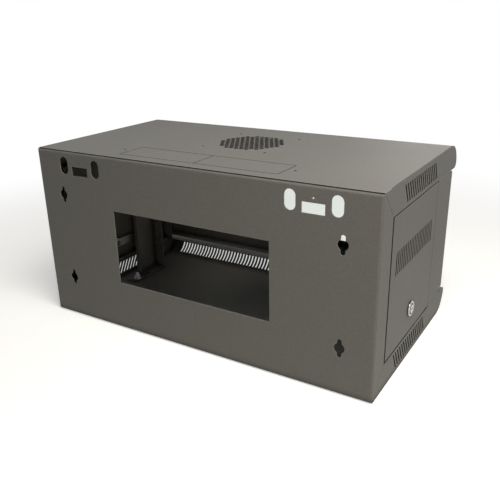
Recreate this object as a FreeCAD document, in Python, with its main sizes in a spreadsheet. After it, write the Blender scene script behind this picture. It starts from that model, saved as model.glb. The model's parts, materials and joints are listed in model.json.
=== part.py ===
import FreeCAD, Part
import math
import os
import re

import Sketcher

# A compact wall-mount network cabinet for 19-inch equipment, four units high, in folded sheet steel.
# +Z is up, the door looks along -Y, the wall is at +Y, and X = 0 is the middle of the width.
# Left and right are as seen by someone facing the door. The origin is the middle of the footprint.

os.makedirs("parts", exist_ok=True)
doc = FreeCAD.newDocument("WallCabinet")

SIZES = [
    # The case as a whole
    ("case_width", 540.0, "outside width"),
    ("case_depth", 310.0, "wall face to the tip of the noses"),
    ("case_height", 266.0, "outside height"),
    ("sheet", 1.2, "thickness of the case's sheet steel"),
    ("bend_radius", 3.0, "outside radius of the back panel's bends"),
    ("seam", 0.8, "open width of the mitred seams at the rear corners"),
    ("touch_gap", 0.3, "air left between seated pieces of different bodies"),
    ("fit_clearance", 0.05, "round a fixed stud or barrel in its hole or nut"),
    # Back panel
    ("rear_flange", 36.0, "depth of the back panel's side flanges"),
    ("rear_landing", 12.0, "inward return along the front of those flanges"),
    ("back_lip", 16.0, "depth of the back panel's top and bottom flanges"),
    ("cable_opening_width", 255.0, "cable opening in the back panel"),
    ("cable_opening_height", 111.0, "height of that opening"),
    ("cable_opening_base", 76.5, "height of its lower edge above the base"),
    ("keyhole_spacing_x", 450.0, "wall fixing pattern, across"),
    ("keyhole_spacing_z", 134.0, "wall fixing pattern, upright"),
    ("keyhole_base", 65.5, "height of the lower fixing holes"),
    ("keyhole_head_radius", 7.0, "round part that the screw head passes"),
    ("keyhole_slot_width", 6.0, "slot that holds the screw's neck"),
    ("keyhole_length", 25.0, "whole length of a fixing hole"),
    ("hanger_offset", 186.5, "middle of a hanger group from the cabinet's middle"),
    ("hanger_height", 244.4, "height of the hanger groups"),
    ("hanger_oval_spacing", 61.0, "distance between a group's two ovals"),
    ("hanger_oval_width", 15.3, "width of an oval"),
    ("hanger_oval_length", 26.0, "height of an oval"),
    ("hanger_window_width", 30.2, "width of the oblong between the ovals"),
    ("hanger_window_height", 13.5, "height of that oblong"),
    ("hanger_window_drop", 6.8, "middle of the oblong below the middle of the ovals"),
    ("hanger_pin_radius", 1.3, "small round hole over the oblong"),
    ("hanger_pin_rise", 5.6, "that hole above the middle of the ovals"),
    # Roof and floor covers with their side strips and noses
    ("strip_height", 36.5, "height of the side strips and of the noses"),
    ("nose_length", 32.0, "depth of the rounded front of a cover"),
    ("nose_tip_radius", 8.5, "radius of the tip of a nose"),
    ("nose_flange", 35.0, "flat inner face of a nose, back from its tip"),
    ("landing_width", 14.8, "inward flange along the covers' side strips"),
    ("vent_count", 16, "vent slots in each side strip"),
    ("vent_pitch", 8.2, "distance between those slots"),
    ("vent_width", 3.8, "width of a slot"),
    ("vent_height", 24.4, "upright height of a slot"),
    ("vent_lean", 13.0, "how far a slot's foot stands off its head"),
    ("vent_inset", 7.0, "slots from the cover's flat face"),
    ("vent_middle", 14.0, "middle of the slot rows, towards the wall from the middle of the case"),
    ("nose_vent_count", 74, "vent slots in each nose"),
    ("nose_vent_pitch", 6.67, "distance between them"),
    ("nose_vent_width", 3.2, "width of a nose slot"),
    ("nose_vent_height", 16.8, "height of a nose slot"),
    ("nose_vent_inset", 4.3, "nose slots from the cover's flat face"),
    ("knockout_length", 127.0, "each of the two knock-outs, across"),
    ("knockout_depth", 50.0, "depth of a knock-out"),
    ("knockout_setback", 48.0, "middle of the knock-outs from the wall face"),
    ("knockout_cut", 0.8, "width of the cut round a knock-out"),
    ("knockout_tab", 1.8, "tab left between two cuts"),
    ("knockout_cuts_across", 10, "cuts along a knock-out's long side"),
    ("knockout_cuts_deep", 4, "cuts along its short side"),
    ("brush_hole_radius", 2.0, "small holes beside the knock-outs"),
    ("brush_hole_offset", 138.5, "those holes from the middle"),
    ("fan_setback", 173.3, "middle of the fan grille from the wall face"),
    ("fan_radius", 53.5, "radius of the perforated disc"),
    ("fan_pitch", 8.5, "distance between the grille's holes"),
    ("fan_hole_radius", 4.1, "hexagonal holes, corner to middle"),
    ("fan_screw_spacing", 105.0, "fan fixing pattern"),
    ("fan_screw_radius", 2.2, "fan fixing holes"),
    # Side panels
    ("panel_depth", 181.0, "depth of a side panel"),
    ("panel_rear_gap", 4.0, "gap to the back panel's flange"),
    ("panel_front_gap", 1.0, "gap to the front post"),
    ("panel_top_gap", 1.5, "gap to the roof cover's strip"),
    ("panel_bottom_gap", 2.5, "gap to the floor cover's strip"),
    ("panel_flange", 12.0, "inward flanges of a side panel"),
    ("panel_vent_count", 21, "upright vent slots"),
    ("panel_vent_pitch", 7.15, "distance between them"),
    ("panel_vent_width", 3.2, "width of a slot"),
    ("panel_vent_height", 31.0, "height of a slot"),
    ("panel_vent_middle", 163.5, "height of the middle of the row"),
    ("hook_spacing", 120.0, "distance between a panel's two hooks"),
    ("hook_width", 24.0, "width of a hook"),
    ("hook_height", 9.0, "how far a hook reaches up behind the strip"),
    ("hook_slot", 4.5, "depth of a hook's slot in the roof cover's flange"),
    ("hook_side_gap", 1.0, "air beside a hook in its slot"),
    # Front posts
    ("post_flange", 22.0, "inward width of a post's front flange"),
    ("post_rebate", 4.0, "front flange behind the post's front edge"),
    ("post_landing", 12.0, "inward width of a post's rear flange"),
    # Door
    ("door_depth", 16.0, "depth of the door's edges"),
    ("door_setback", 14.0, "door face behind the tip of the noses"),
    ("door_side_gap", 0.5, "door edge inside the case's sides"),
    ("door_rear_gap", 1.0, "gap between door and posts"),
    ("door_top_gap", 3.0, "gap over the door"),
    ("door_bottom_gap", 6.5, "gap under the door"),
    ("door_bend_radius", 2.4, "outside radius of the door's bends"),
    ("door_stile", 56.0, "width of the frame beside the window"),
    ("door_sill", 45.0, "height of the frame under the window"),
    ("door_head", 40.0, "height of the frame over the window"),
    ("glass_thickness", 4.0, "thickness of the window glass"),
    ("glass_overlap", 10.0, "glass behind the frame on each side"),
    ("seal_thickness", 1.0, "rubber seal between frame and glass"),
    ("seal_width", 8.0, "width of the seal"),
    ("clip_width", 20.0, "width of a glass clip"),
    ("clip_length", 16.0, "length of a clip over glass and frame"),
    ("clip_sheet", 1.0, "thickness of a clip"),
    ("clip_offset", 150.0, "clips from the middle of the door"),
    # Hinge
    ("hinge_inset", 6.0, "hinge axis from the door's edge"),
    ("hinge_pin_radius", 2.5, "radius of both hinge pins"),
    ("hinge_clearance", 0.05, "running clearance round a hinge pin"),
    ("hinge_reach", 5.0, "hinge pins beyond the sheet that they turn in"),
    ("hinge_collar_radius", 4.0, "collars on the hinge pins"),
    ("hinge_collar_height", 2.0, "height of the upper pin's collar"),
    ("hinge_spring_length", 13.0, "fitted length of the hinge spring"),
    ("hinge_spring_wire", 0.4, "radius of its wire"),
    ("hinge_spring_turns", 5, "turns of that spring"),
    ("hinge_bracket_sheet", 1.5, "thickness of the pin's guide bracket"),
    ("hinge_tail", 12.0, "pin below its guide bracket"),
    ("hinge_grip_width", 3.0, "grip bent out of the upper pin's lower end"),
    ("hinge_grip_reach", 10.0, "end of the grip from the pin's axis"),
    # Cam locks
    ("lock_flange_radius", 10.5, "round head of a lock"),
    ("lock_flange_height", 3.0, "head above the panel"),
    ("lock_barrel_radius", 8.0, "barrel behind the panel"),
    ("lock_plug_radius", 6.0, "turning plug"),
    ("lock_clearance", 0.1, "running clearance round the plug"),
    ("lock_nut_flats", 20.0, "lock nut, across its flats"),
    ("lock_nut_height", 3.5, "height of the lock nut"),
    ("lock_cam_sheet", 2.0, "thickness of a cam"),
    ("lock_cam_gap", 0.8, "barrel's end behind the flange that the cam closes on"),
    ("lock_cam_width", 13.0, "width of a cam"),
    ("lock_stem_radius", 3.0, "stem that carries the cam"),
    ("lock_screw_radius", 4.5, "screw head behind the cam"),
    ("lock_screw_height", 2.5, "height of that head"),
    ("keyway_width", 1.4, "key slot in the plug"),
    ("keyway_height", 7.0, "length of the key slot"),
    ("keyway_depth", 2.0, "depth of the key slot"),
    ("side_lock_height", 74.0, "height of the side panels' locks"),
    ("side_cam_overlap", 4.5, "locked cam of a side panel beyond its landing flange"),
    ("door_lock_inset", 34.0, "door lock from the case's side"),
    ("door_cam_overlap", 10.0, "locked cam of the door behind the post's front flange"),
    # 19-inch rails
    ("rail_opening", 450.0, "clear width between the rails"),
    ("rail_hole_spacing", 465.1, "distance between the two columns of holes"),
    ("rail_hole", 9.5, "side of a square hole"),
    ("rail_sheet", 1.5, "thickness of a rail"),
    ("rail_face", 22.5, "width of a rail, from its inner edge"),
    ("rail_web", 50.0, "depth of a rail"),
    ("rail_lip", 8.0, "inward lip at the rear of a rail"),
    ("rail_setback", 92.0, "rails behind the tip of the noses"),
    ("rail_foot", 80.0, "depth of a rail's feet"),
    ("rail_travel", 30.0, "how far the rails can be set back"),
    ("rack_unit", 44.45, "height of one rack unit"),
    ("rack_hole_step", 15.875, "from a unit's middle hole to its outer ones"),
    ("rack_units", 4, "number of rack units"),
    # Studs and nuts, M6
    ("stud_radius", 3.0, "welded studs"),
    ("stud_clearance", 0.3, "side clearance of a stud in a rail's slot"),
    ("stud_height", 13.0, "length of the studs"),
    ("stud_setback", 160.0, "rail studs behind the tip of the noses"),
    ("nut_flats", 10.0, "nuts, across their flats"),
    ("nut_height", 5.0, "height of the nuts"),
    ("nut_flange_radius", 6.8, "washer face of a rail nut"),
    ("nut_flange_height", 1.2, "thickness of that face"),
    ("earth_offset", 190.0, "earth stud from the middle of the case"),
    ("earth_setback", 75.0, "earth stud from the wall face"),
    ("earth_washer_radius", 6.4, "washer under the earth nut"),
    ("earth_washer_height", 1.6, "thickness of that washer"),
]

sheet_cells = doc.addObject("Spreadsheet::Sheet", "Sizes")
for row, (name, number, note) in enumerate(SIZES, start=1):
    sheet_cells.set(f"A{row}", name)
    sheet_cells.set(f"B{row}", str(number))
    sheet_cells.setAlias(f"B{row}", name)
    sheet_cells.set(f"C{row}", note)
doc.recompute()

SIZE_NAME = re.compile(r"\b(" + "|".join(name for name, _, _ in SIZES) + r")\b")
NODES = []


# ---------------------------------------------------------------- expressions and sketches

def bound(text):
    """The expression with each size read from the sheet."""
    return SIZE_NAME.sub(r"Sizes.\1", str(text))


def value(text):
    """The number that an expression gives with the sheet's present sizes."""
    return float(sheet_cells.evalExpression(bound(text)))


def offset_sketch(body, plane, offset):
    """A sketch on one of the body's origin planes, moved along that plane's normal."""
    sketch = body.newObject("Sketcher::SketchObject", "Outline")
    base = next(item for item in body.Origin.OriginFeatures if item.Role == f"{plane}_Plane")
    sketch.AttachmentSupport = [(base, "")]
    sketch.MapMode = "FlatFace"
    sketch.setExpression("AttachmentOffset.Base.z", bound(offset))
    return sketch


def at_point(geometry, position, x=None, y=None):
    """The rules that tie a point's coordinates to expressions."""
    rules = []
    for kind, text in (("DistanceX", x), ("DistanceY", y)):
        if text is not None:
            rules.append((Sketcher.Constraint(kind, geometry, position, value(text)), text))
    return rules


def apply_rules(sketch, rules):
    """Add constraints in one go, then bind those that carry an expression."""
    numbers = sketch.addConstraint([rule for rule, _ in rules])
    for number, (_, text) in zip(numbers, rules):
        if text is not None:
            sketch.setExpression(f"Constraints[{number}]", bound(text))


def closed_outline(sketch, points):
    """A closed outline through points given as pairs of expressions.

    A point (x, y, cx, cy, turn) is reached by an arc about (cx, cy); turn is 1 for
    anticlockwise and -1 for clockwise.
    """
    places = [FreeCAD.Vector(value(point[0]), value(point[1]), 0) for point in points]
    ends = []
    rules = []
    for number, point in enumerate(points):
        start, end = places[number - 1], places[number]
        if len(point) == 2:
            geometry = sketch.addGeometry(Part.LineSegment(start, end), False)
            ends.append((geometry, 1, 2))
        else:
            centre = FreeCAD.Vector(value(point[2]), value(point[3]), 0)
            first, last = (start, end) if point[4] > 0 else (end, start)
            angles = [math.atan2(place.y - centre.y, place.x - centre.x) for place in (first, last)]
            if angles[1] <= angles[0]:
                angles[1] += 2 * math.pi
            circle = Part.Circle(centre, FreeCAD.Vector(0, 0, 1), (first - centre).Length)
            geometry = sketch.addGeometry(Part.ArcOfCircle(circle, angles[0], angles[1]), False)
            ends.append((geometry, 1, 2) if point[4] > 0 else (geometry, 2, 1))
            chord = end - start
            if abs(chord.x) > abs(chord.y):
                rules += at_point(geometry, 3, y=point[3])
            else:
                rules += at_point(geometry, 3, x=point[2])
    for number, point in enumerate(points):
        geometry, _, last = ends[number]
        following, first, _ = ends[(number + 1) % len(points)]
        rules.append((Sketcher.Constraint("Coincident", geometry, last, following, first), None))
        rules += at_point(geometry, last, point[0], point[1])
    apply_rules(sketch, rules)


def round_outline(sketch, x, y, radius):
    """A circle with its centre and radius given as expressions."""
    centre = FreeCAD.Vector(value(x), value(y), 0)
    circle = Part.Circle(centre, FreeCAD.Vector(0, 0, 1), value(radius))
    geometry = sketch.addGeometry(circle, False)
    rules = at_point(geometry, 3, x, y)
    rules.append((Sketcher.Constraint("Radius", geometry, value(radius)), radius))
    apply_rules(sketch, rules)


def draw(sketch, shapes):
    """Draw shapes: a list of points is an outline, a triple of expressions a circle."""
    for shape in shapes:
        if isinstance(shape, tuple):
            round_outline(sketch, *shape)
        else:
            closed_outline(sketch, shape)


def rectangle(x0, x1, y0, y1):
    """The corners of a rectangle between two pairs of expressions."""
    return [(x0, y0), (x1, y0), (x1, y1), (x0, y1)]


def upright_slot(x, y, width, length):
    """A slot with round ends, standing upright round (x, y)."""
    left = f"({x}) - ({width}) / 2"
    right = f"({x}) + ({width}) / 2"
    low = f"({y}) - (({length}) - ({width})) / 2"
    high = f"({y}) + (({length}) - ({width})) / 2"
    return [(right, low, x, low, 1), (right, high), (left, high, x, high, 1), (left, low)]


# ---------------------------------------------------------------- features

def new_body(label):
    body = doc.addObject("PartDesign::Body", label)
    body.Label = label
    return body


def extruded(body, plane, shapes, low, high):
    """Add material between two heights along the world axis across the plane."""
    sketch = offset_sketch(body, plane, f"-({high})" if plane == "XZ" else low)
    draw(sketch, shapes)
    pad = body.newObject("PartDesign::Pad", "Pad")
    pad.Profile = sketch
    pad.setExpression("Length", bound(f"({high}) - ({low})"))
    doc.recompute()
    return pad


def pocketed(body, plane, shapes, low, high):
    """Remove material between two heights along the world axis across the plane."""
    before = body.Shape.Volume
    sketch = offset_sketch(body, plane, f"-({low})" if plane == "XZ" else high)
    draw(sketch, shapes)
    pocket = body.newObject("PartDesign::Pocket", "Pocket")
    pocket.Profile = sketch
    pocket.setExpression("Length", bound(f"({high}) - ({low})"))
    doc.recompute()
    if body.Shape.Volume >= before:
        raise RuntimeError(f"{body.Label}: a pocket removes nothing")
    return pocket


def repeated(body, feature, axis, spacing, count):
    """Repeat a feature along the sketch axis of its own profile."""
    pattern = body.newObject("PartDesign::LinearPattern", "Row")
    pattern.Originals = [feature]
    sketch = feature.Profile[0]
    pattern.Direction = (sketch, [f"{axis}_Axis"])
    pattern.setExpression("Occurrences", bound(count))
    pattern.setExpression("Length", bound(f"({spacing}) * (({count}) - 1)"))
    body.Tip = pattern
    doc.recompute()
    return pattern


def on_both_sides(body, features):
    """Repeat features on the other side of the body's middle."""
    plane = next(item for item in body.Origin.OriginFeatures if item.Role == "YZ_Plane")
    pair = body.newObject("PartDesign::Mirrored", "Pair")
    pair.Originals = features
    pair.MirrorPlane = (plane, [""])
    body.Tip = pair
    doc.recompute()
    return pair


def rounded(body, radius, chosen):
    """Round the edges that a test on the edge picks out."""
    names = [f"Edge{number}" for number, edge in enumerate(body.Shape.Edges, start=1) if chosen(edge)]
    base = body.Tip
    fillet = body.newObject("PartDesign::Fillet", "Bend")
    fillet.Base = (base, names)
    fillet.setExpression("Radius", bound(radius))
    body.Tip = fillet
    doc.recompute()
    return fillet


def placed(body, x, y, z, axis=None):
    """Move a body to a place given by expressions, its own Z axis turned to the given axis."""
    if axis is not None:
        turn = FreeCAD.Rotation(FreeCAD.Vector(0, 0, 1), FreeCAD.Vector(*axis))
        body.Placement = FreeCAD.Placement(FreeCAD.Vector(0, 0, 0), turn)
    for letter, text in (("x", x), ("y", y), ("z", z)):
        body.setExpression(f"Placement.Base.{letter}", bound(text))


def turned(label, points):
    """A turned piece: an outline of (radius, height) pairs revolved round its own Z axis."""
    body = new_body(label)
    sketch = offset_sketch(body, "XZ", "0")
    closed_outline(sketch, points)
    revolution = body.newObject("PartDesign::Revolution", "Turn")
    revolution.Profile = sketch
    revolution.ReferenceAxis = (sketch, ["V_Axis"])
    revolution.Angle = 360
    doc.recompute()
    return body


def hexagon(flats):
    """The corners of a hexagon, flat sides along the sketch's own Y axis."""
    corner = f"({flats}) / sqrt(3)"
    return [(f"{corner} * cos({60 * step} deg)", f"{corner} * sin({60 * step} deg)") for step in range(6)]


def kept(node):
    """List a finished sub-part for export."""
    NODES.append(node)
    return node


def mirrored(source, label):
    """The same piece on the other side of the case."""
    copy = doc.addObject("Part::Mirroring", label)
    copy.Label = label
    copy.Source = source
    copy.Normal = (1, 0, 0)
    copy.Base = (0, 0, 0)
    return kept(copy)


# ---------------------------------------------------------------- shared lines of the case

SIDE = "case_width / 2"
BACK = "case_depth / 2"
FRONT = "-case_depth / 2"
STRIP_TOP = "case_height - strip_height"
DOOR_FACE = f"{FRONT} + door_setback"
DOOR_REAR = f"{DOOR_FACE} + door_depth"
DOOR_LOW = "strip_height + door_bottom_gap"
DOOR_HIGH = f"{STRIP_TOP} - door_top_gap"
DOOR_SIDE = f"({SIDE} - door_side_gap)"
PANEL_REAR = f"{BACK} - rear_flange - panel_rear_gap"
PANEL_FRONT = f"{PANEL_REAR} - panel_depth"
PANEL_LOW = "strip_height + panel_bottom_gap"
PANEL_HIGH = f"{STRIP_TOP} - panel_top_gap"
POST_REAR = f"{PANEL_FRONT} - panel_front_gap"
POST_FRONT = f"{DOOR_REAR} + door_rear_gap"
SIDE_LOCK_Y = f"{PANEL_REAR} - panel_depth / 2"
HINGE_X = f"-({DOOR_SIDE} - hinge_inset)"
HINGE_Y = f"{DOOR_FACE} + door_depth / 2"
DOOR_LOCK_Z = f"({DOOR_LOW} + ({DOOR_HIGH} - ({DOOR_LOW})) / 2)"
# The window pane's edges, and the layers of seal and glass behind the door's skin
PANE_SIDE = f"({DOOR_SIDE} - door_stile + glass_overlap)"
PANE_LOW = f"({DOOR_LOW} + door_sill - glass_overlap)"
PANE_HIGH = f"({DOOR_HIGH} - door_head + glass_overlap)"
SEAL_FRONT = f"{DOOR_FACE} + sheet"
GLASS_FRONT = f"{SEAL_FRONT} + seal_thickness"
GLASS_REAR = f"{GLASS_FRONT} + glass_thickness"
# The rail studs stand in the part of the foot that the rail's rear lip leaves free.
STUD_X = "(-rail_opening / 2 - (rail_face - rail_lip) / 2)"
# A nose's two arcs: centre and radius of the large one, centre of the tip's
TIP_Y = f"({FRONT} + nose_tip_radius)"
TIP_H = "(strip_height - nose_tip_radius)"
ARC_Y = f"({FRONT} + nose_length)"
ARC_R = (
    "(((nose_length - nose_tip_radius)^2 + (strip_height - nose_tip_radius)^2 - nose_tip_radius^2)"
    " / (2 * (strip_height - 2 * nose_tip_radius)))"
)


# ---------------------------------------------------------------- back panel

def keyhole(x, z):
    """A round hole with a slot above and below it, for the head and the neck of a wall screw."""
    half = "keyhole_slot_width / 2"
    shoulder = "sqrt(keyhole_head_radius^2 - (keyhole_slot_width / 2)^2)"
    reach = "(keyhole_length / 2 - keyhole_slot_width / 2)"
    left, right = f"({x}) - {half}", f"({x}) + {half}"
    return [
        (right, f"({z}) - {reach}", x, f"({z}) - {reach}", 1),
        (right, f"({z}) - {shoulder}"),
        (right, f"({z}) + {shoulder}", x, z, 1),
        (right, f"({z}) + {reach}"),
        (left, f"({z}) + {reach}", x, f"({z}) + {reach}", 1),
        (left, f"({z}) + {shoulder}"),
        (left, f"({z}) - {shoulder}", x, z, 1),
        (left, f"({z}) - {reach}"),
    ]


def make_back_panel():
    """A tray of sheet steel, open to the front. Its side flanges are mitred to meet the covers.

    Each side flange ends in an inward return, which stands behind the rear edge of a side panel.
    """
    body = new_body("back_panel")
    inner = f"{SIDE} - sheet"
    front = f"{BACK} - rear_flange"
    extruded(body, "XZ", [rectangle(f"-{SIDE}", SIDE, "sheet", "case_height - sheet")], front, BACK)
    back = value(BACK)
    rounded(body, "bend_radius", lambda edge: all(abs(v.Y - back) < 1e-6 for v in edge.Vertexes))
    hollow = rectangle(f"-({inner})", inner, "2 * sheet", "case_height - 2 * sheet")
    pocketed(body, "XZ", [hollow], front, f"{BACK} - sheet")
    # Top and bottom flanges end short of the side flanges.
    lips = [
        rectangle(f"-({inner})", inner, low, high)
        for low, high in (("0", "2 * sheet"), ("case_height - 2 * sheet", "case_height"))
    ]
    pocketed(body, "XZ", lips, front, f"{BACK} - back_lip")
    # Each side flange is cut along the mitre, from the outer corner to the end of the strip.
    for low, high in ((f"-{SIDE}", f"-({inner})"), (inner, SIDE)):
        upper = [
            (f"{BACK} - bend_radius + seam", "case_height"), (f"{front} + seam", STRIP_TOP),
            (f"{front} - 1", STRIP_TOP), (f"{front} - 1", "case_height"),
        ]
        lower = [
            (f"{BACK} - bend_radius + seam", "0"), (f"{front} - 1", "0"),
            (f"{front} - 1", "strip_height"), (f"{front} + seam", "strip_height"),
        ]
        pocketed(body, "YZ", [upper, lower], low, high)
    landing = f"({SIDE} - rear_landing)"
    returns = [
        rectangle(low, high, "strip_height + touch_gap", f"{STRIP_TOP} - touch_gap")
        for low, high in ((f"-({inner})", f"-{landing}"), (landing, inner))
    ]
    extruded(body, "XZ", returns, front, f"{front} + sheet")
    through = (f"{BACK} - 2 * sheet", BACK)
    half = "cable_opening_width / 2"
    opening = rectangle(f"-{half}", half, "cable_opening_base", "cable_opening_base + cable_opening_height")
    pocketed(body, "XZ", [opening], *through)
    holes = [
        pocketed(body, "XZ", [keyhole("keyhole_spacing_x / 2", height)], *through)
        for height in ("keyhole_base", "keyhole_base + keyhole_spacing_z")
    ]
    for end in ("-", "+"):
        x = f"hanger_offset {end} hanger_oval_spacing / 2"
        oval = upright_slot(x, "hanger_height", "hanger_oval_width", "hanger_oval_length")
        holes.append(pocketed(body, "XZ", [oval], *through))
    wide, tall = "hanger_window_width / 2", "hanger_window_height / 2"
    middle = "hanger_height - hanger_window_drop"
    oblong = rectangle(
        f"hanger_offset - {wide}", f"hanger_offset + {wide}", f"{middle} - {tall}", f"{middle} + {tall}")
    pin = ("hanger_offset", "hanger_height + hanger_pin_rise", "hanger_pin_radius")
    holes.append(pocketed(body, "XZ", [oblong, pin], *through))
    on_both_sides(body, holes)
    return kept(body)


# ---------------------------------------------------------------- roof and floor covers

def nose_points(level, turn, skin):
    """The rounded front of a cover from its flat face to its inner face, drawn `skin` inside it.

    The large arc is tangent to the flat face and runs over into the tip's smaller arc.
    """
    share = f"(nose_tip_radius - ({skin})) / ({ARC_R} - nose_tip_radius)"
    meet_y = f"{TIP_Y} + ({TIP_Y} - {ARC_Y}) * {share}"
    meet_h = f"{TIP_H} + ({TIP_H} - {ARC_R}) * {share}"
    return [
        (ARC_Y, level(skin)),
        (meet_y, level(meet_h), ARC_Y, level(ARC_R), turn),
        (TIP_Y, level(f"strip_height - ({skin})"), TIP_Y, level(TIP_H), turn),
    ]


def slanted_slot(x, high, low, lean, width):
    """A slanted slot: its head at x, its foot `lean` further along."""
    foot = f"({x}) + ({lean})"
    return [
        (f"({x}) - ({width}) / 2", high),
        (f"({foot}) - ({width}) / 2", low),
        (f"({foot}) + ({width}) / 2", low),
        (f"({x}) + ({width}) / 2", high),
    ]


def cut_knockouts(body, low, high):
    """Broken cuts round two knock-outs that share one side, with a tab between every two cuts."""
    wide = "knockout_cut / 2"
    middle = f"{BACK} - knockout_setback"
    step = "knockout_length / knockout_cuts_across"
    edges = [f"{middle} {end} knockout_depth / 2" for end in ("-", "+")]
    first = [
        rectangle("-knockout_length + knockout_tab / 2", f"-knockout_length + {step} - knockout_tab / 2",
                  f"{edge} - {wide}", f"{edge} + {wide}")
        for edge in edges
    ]
    pocket = pocketed(body, "XY", first, low, high)
    repeated(body, pocket, "H", step, "2 * knockout_cuts_across")
    step = "knockout_depth / knockout_cuts_deep"
    near = f"{middle} - knockout_depth / 2"
    first = [
        rectangle(f"{side} * knockout_length - {wide}", f"{side} * knockout_length + {wide}",
                  f"{near} + knockout_tab / 2", f"{near} + {step} - knockout_tab / 2")
        for side in ("-1", "0", "1")
    ]
    pocket = pocketed(body, "XY", first, low, high)
    repeated(body, pocket, "V", step, "knockout_cuts_deep")


def make_cover(label, level, turn):
    """A roof or floor: one flat sheet with flanged side strips and a rounded, vented nose.

    `level` turns a depth below the cover's flat face into a height; `turn` is the sense in
    which the nose's arcs run from the flat face to the inner one.
    """
    body = new_body(label)
    rear_top = f"{BACK} - bend_radius"
    rear_end = f"{BACK} - rear_flange"
    outer = [(rear_top, level("0"))] + nose_points(level, turn, "0") + [(rear_end, level("strip_height"))]
    extruded(body, "YZ", [outer], f"-{SIDE}", SIDE)
    inner_side = f"{SIDE} - sheet"
    hollow = [(f"{BACK} + 1", level("sheet"))] + nose_points(level, turn, "sheet") + [
        (f"{FRONT} + nose_flange", level("strip_height - sheet")),
        (f"{FRONT} + nose_flange", level("strip_height + 1")),
        (f"{BACK} + 1", level("strip_height + 1")),
    ]
    pocketed(body, "YZ", [hollow], f"-({inner_side})", inner_side)
    # Slots in both strips lean the same way to someone who faces that strip.
    for low, high, side in ((f"-{SIDE}", f"-({inner_side})", "-1"), (inner_side, SIDE, "1")):
        head, foot = sorted(
            (level("vent_inset"), level("vent_inset + vent_height")), key=value, reverse=True)
        lean = f"{side} * vent_lean"
        start = f"vent_middle - vent_pitch * (vent_count - 1) / 2 - {lean} / 2"
        slot = slanted_slot(start, head, foot, lean, "vent_width")
        pocket = pocketed(body, "YZ", [slot], low, high)
        repeated(body, pocket, "H", "vent_pitch", "vent_count")
    # Upright slots in the nose.
    low, high = sorted((level("nose_vent_inset"), level("nose_vent_inset + nose_vent_height")), key=value)
    middle = "-nose_vent_pitch * (nose_vent_count - 1) / 2"
    slot = rectangle(f"{middle} - nose_vent_width / 2", f"{middle} + nose_vent_width / 2", low, high)
    pocket = pocketed(body, "XZ", [slot], f"{FRONT} - 1", ARC_Y)
    repeated(body, pocket, "H", "nose_vent_pitch", "nose_vent_count")
    low, high = sorted((level("-1"), level("sheet + 1")), key=value)
    cut_knockouts(body, low, high)
    holes = [
        (f"{side} * brush_hole_offset", f"{BACK} - knockout_setback", "brush_hole_radius")
        for side in ("-1", "1")
    ]
    pocketed(body, "XY", holes, low, high)
    # An inward flange along the edge of each strip, for the side panels to close on.
    low, high = sorted((level("strip_height - sheet"), level("strip_height")), key=value)
    landing = f"{SIDE} - landing_width"
    for start, end in ((f"-({inner_side})", f"-({landing})"), (landing, inner_side)):
        ledge = rectangle(start, end, f"{FRONT} + nose_flange", f"{BACK} - rear_flange")
        extruded(body, "XY", [ledge], low, high)
    # The hinge pin's hole in the nose's inner face.
    low, high = sorted((level("strip_height - 2 * sheet"), level("strip_height + 1")), key=value)
    pivot = (HINGE_X, HINGE_Y, "hinge_pin_radius + hinge_clearance")
    pocketed(body, "XY", [pivot], low, high)
    return body


def make_top_panel():
    """The roof cover, with slots for the panels' hooks, a perforated disc and four fan screw holes."""
    body = make_cover("top_panel", lambda depth: f"case_height - ({depth})", 1)
    spread = "fan_screw_spacing / 2"
    middle = f"{BACK} - fan_setback"
    screws = [
        (f"{x} * {spread}", f"{middle} + ({y}) * {spread}", "fan_screw_radius")
        for x in ("-1", "1") for y in ("-1", "1")
    ]
    pocketed(body, "XY", screws, "case_height - 2 * sheet", "case_height + 1")
    # Each side panel's hooks pass through two slots in the flange, close behind the strip.
    outer = f"{SIDE} - sheet"
    inner = f"{outer} - hook_slot"
    reach = "(hook_width / 2 + hook_side_gap)"
    slots = [
        rectangle(start, end, f"{SIDE_LOCK_Y} {side} hook_spacing / 2 - {reach}",
                  f"{SIDE_LOCK_Y} {side} hook_spacing / 2 + {reach}")
        for start, end in ((f"-({outer})", f"-({inner})"), (inner, outer))
        for side in ("-", "+")
    ]
    pocketed(body, "XY", slots, STRIP_TOP, f"{STRIP_TOP} + sheet")
    # Honeycomb of hexagonal holes, each row shifted by half a pitch against the last.
    pitch = value("fan_pitch")
    reach = value("fan_radius - fan_hole_radius")
    rows = int(reach / (pitch * math.sqrt(3) / 2)) + 1
    prisms = []
    for row in range(-rows, rows + 1):
        y = row * pitch * math.sqrt(3) / 2
        shift = 0.5 * pitch * (row % 2)
        for column in range(-rows - 1, rows + 2):
            x = column * pitch + shift
            if math.hypot(x, y) <= reach:
                corners = [
                    FreeCAD.Vector(
                        x + value("fan_hole_radius") * math.sin(math.radians(60 * step)),
                        y + value(middle) + value("fan_hole_radius") * math.cos(math.radians(60 * step)),
                        value("case_height - 2 * sheet"))
                    for step in range(7)
                ]
                face = Part.Face(Part.makePolygon(corners))
                prisms.append(face.extrude(FreeCAD.Vector(0, 0, value("3 * sheet"))))
    honeycomb = doc.addObject("Part::Feature", "Honeycomb")
    honeycomb.Shape = Part.makeCompound(prisms)
    cover = doc.addObject("Part::Cut", "top_panel_cut")
    body.Label = "top_panel_blank"
    cover.Label = "top_panel"
    cover.Base = body
    cover.Tool = honeycomb
    doc.recompute()
    return kept(cover)


# ---------------------------------------------------------------- front posts

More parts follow.
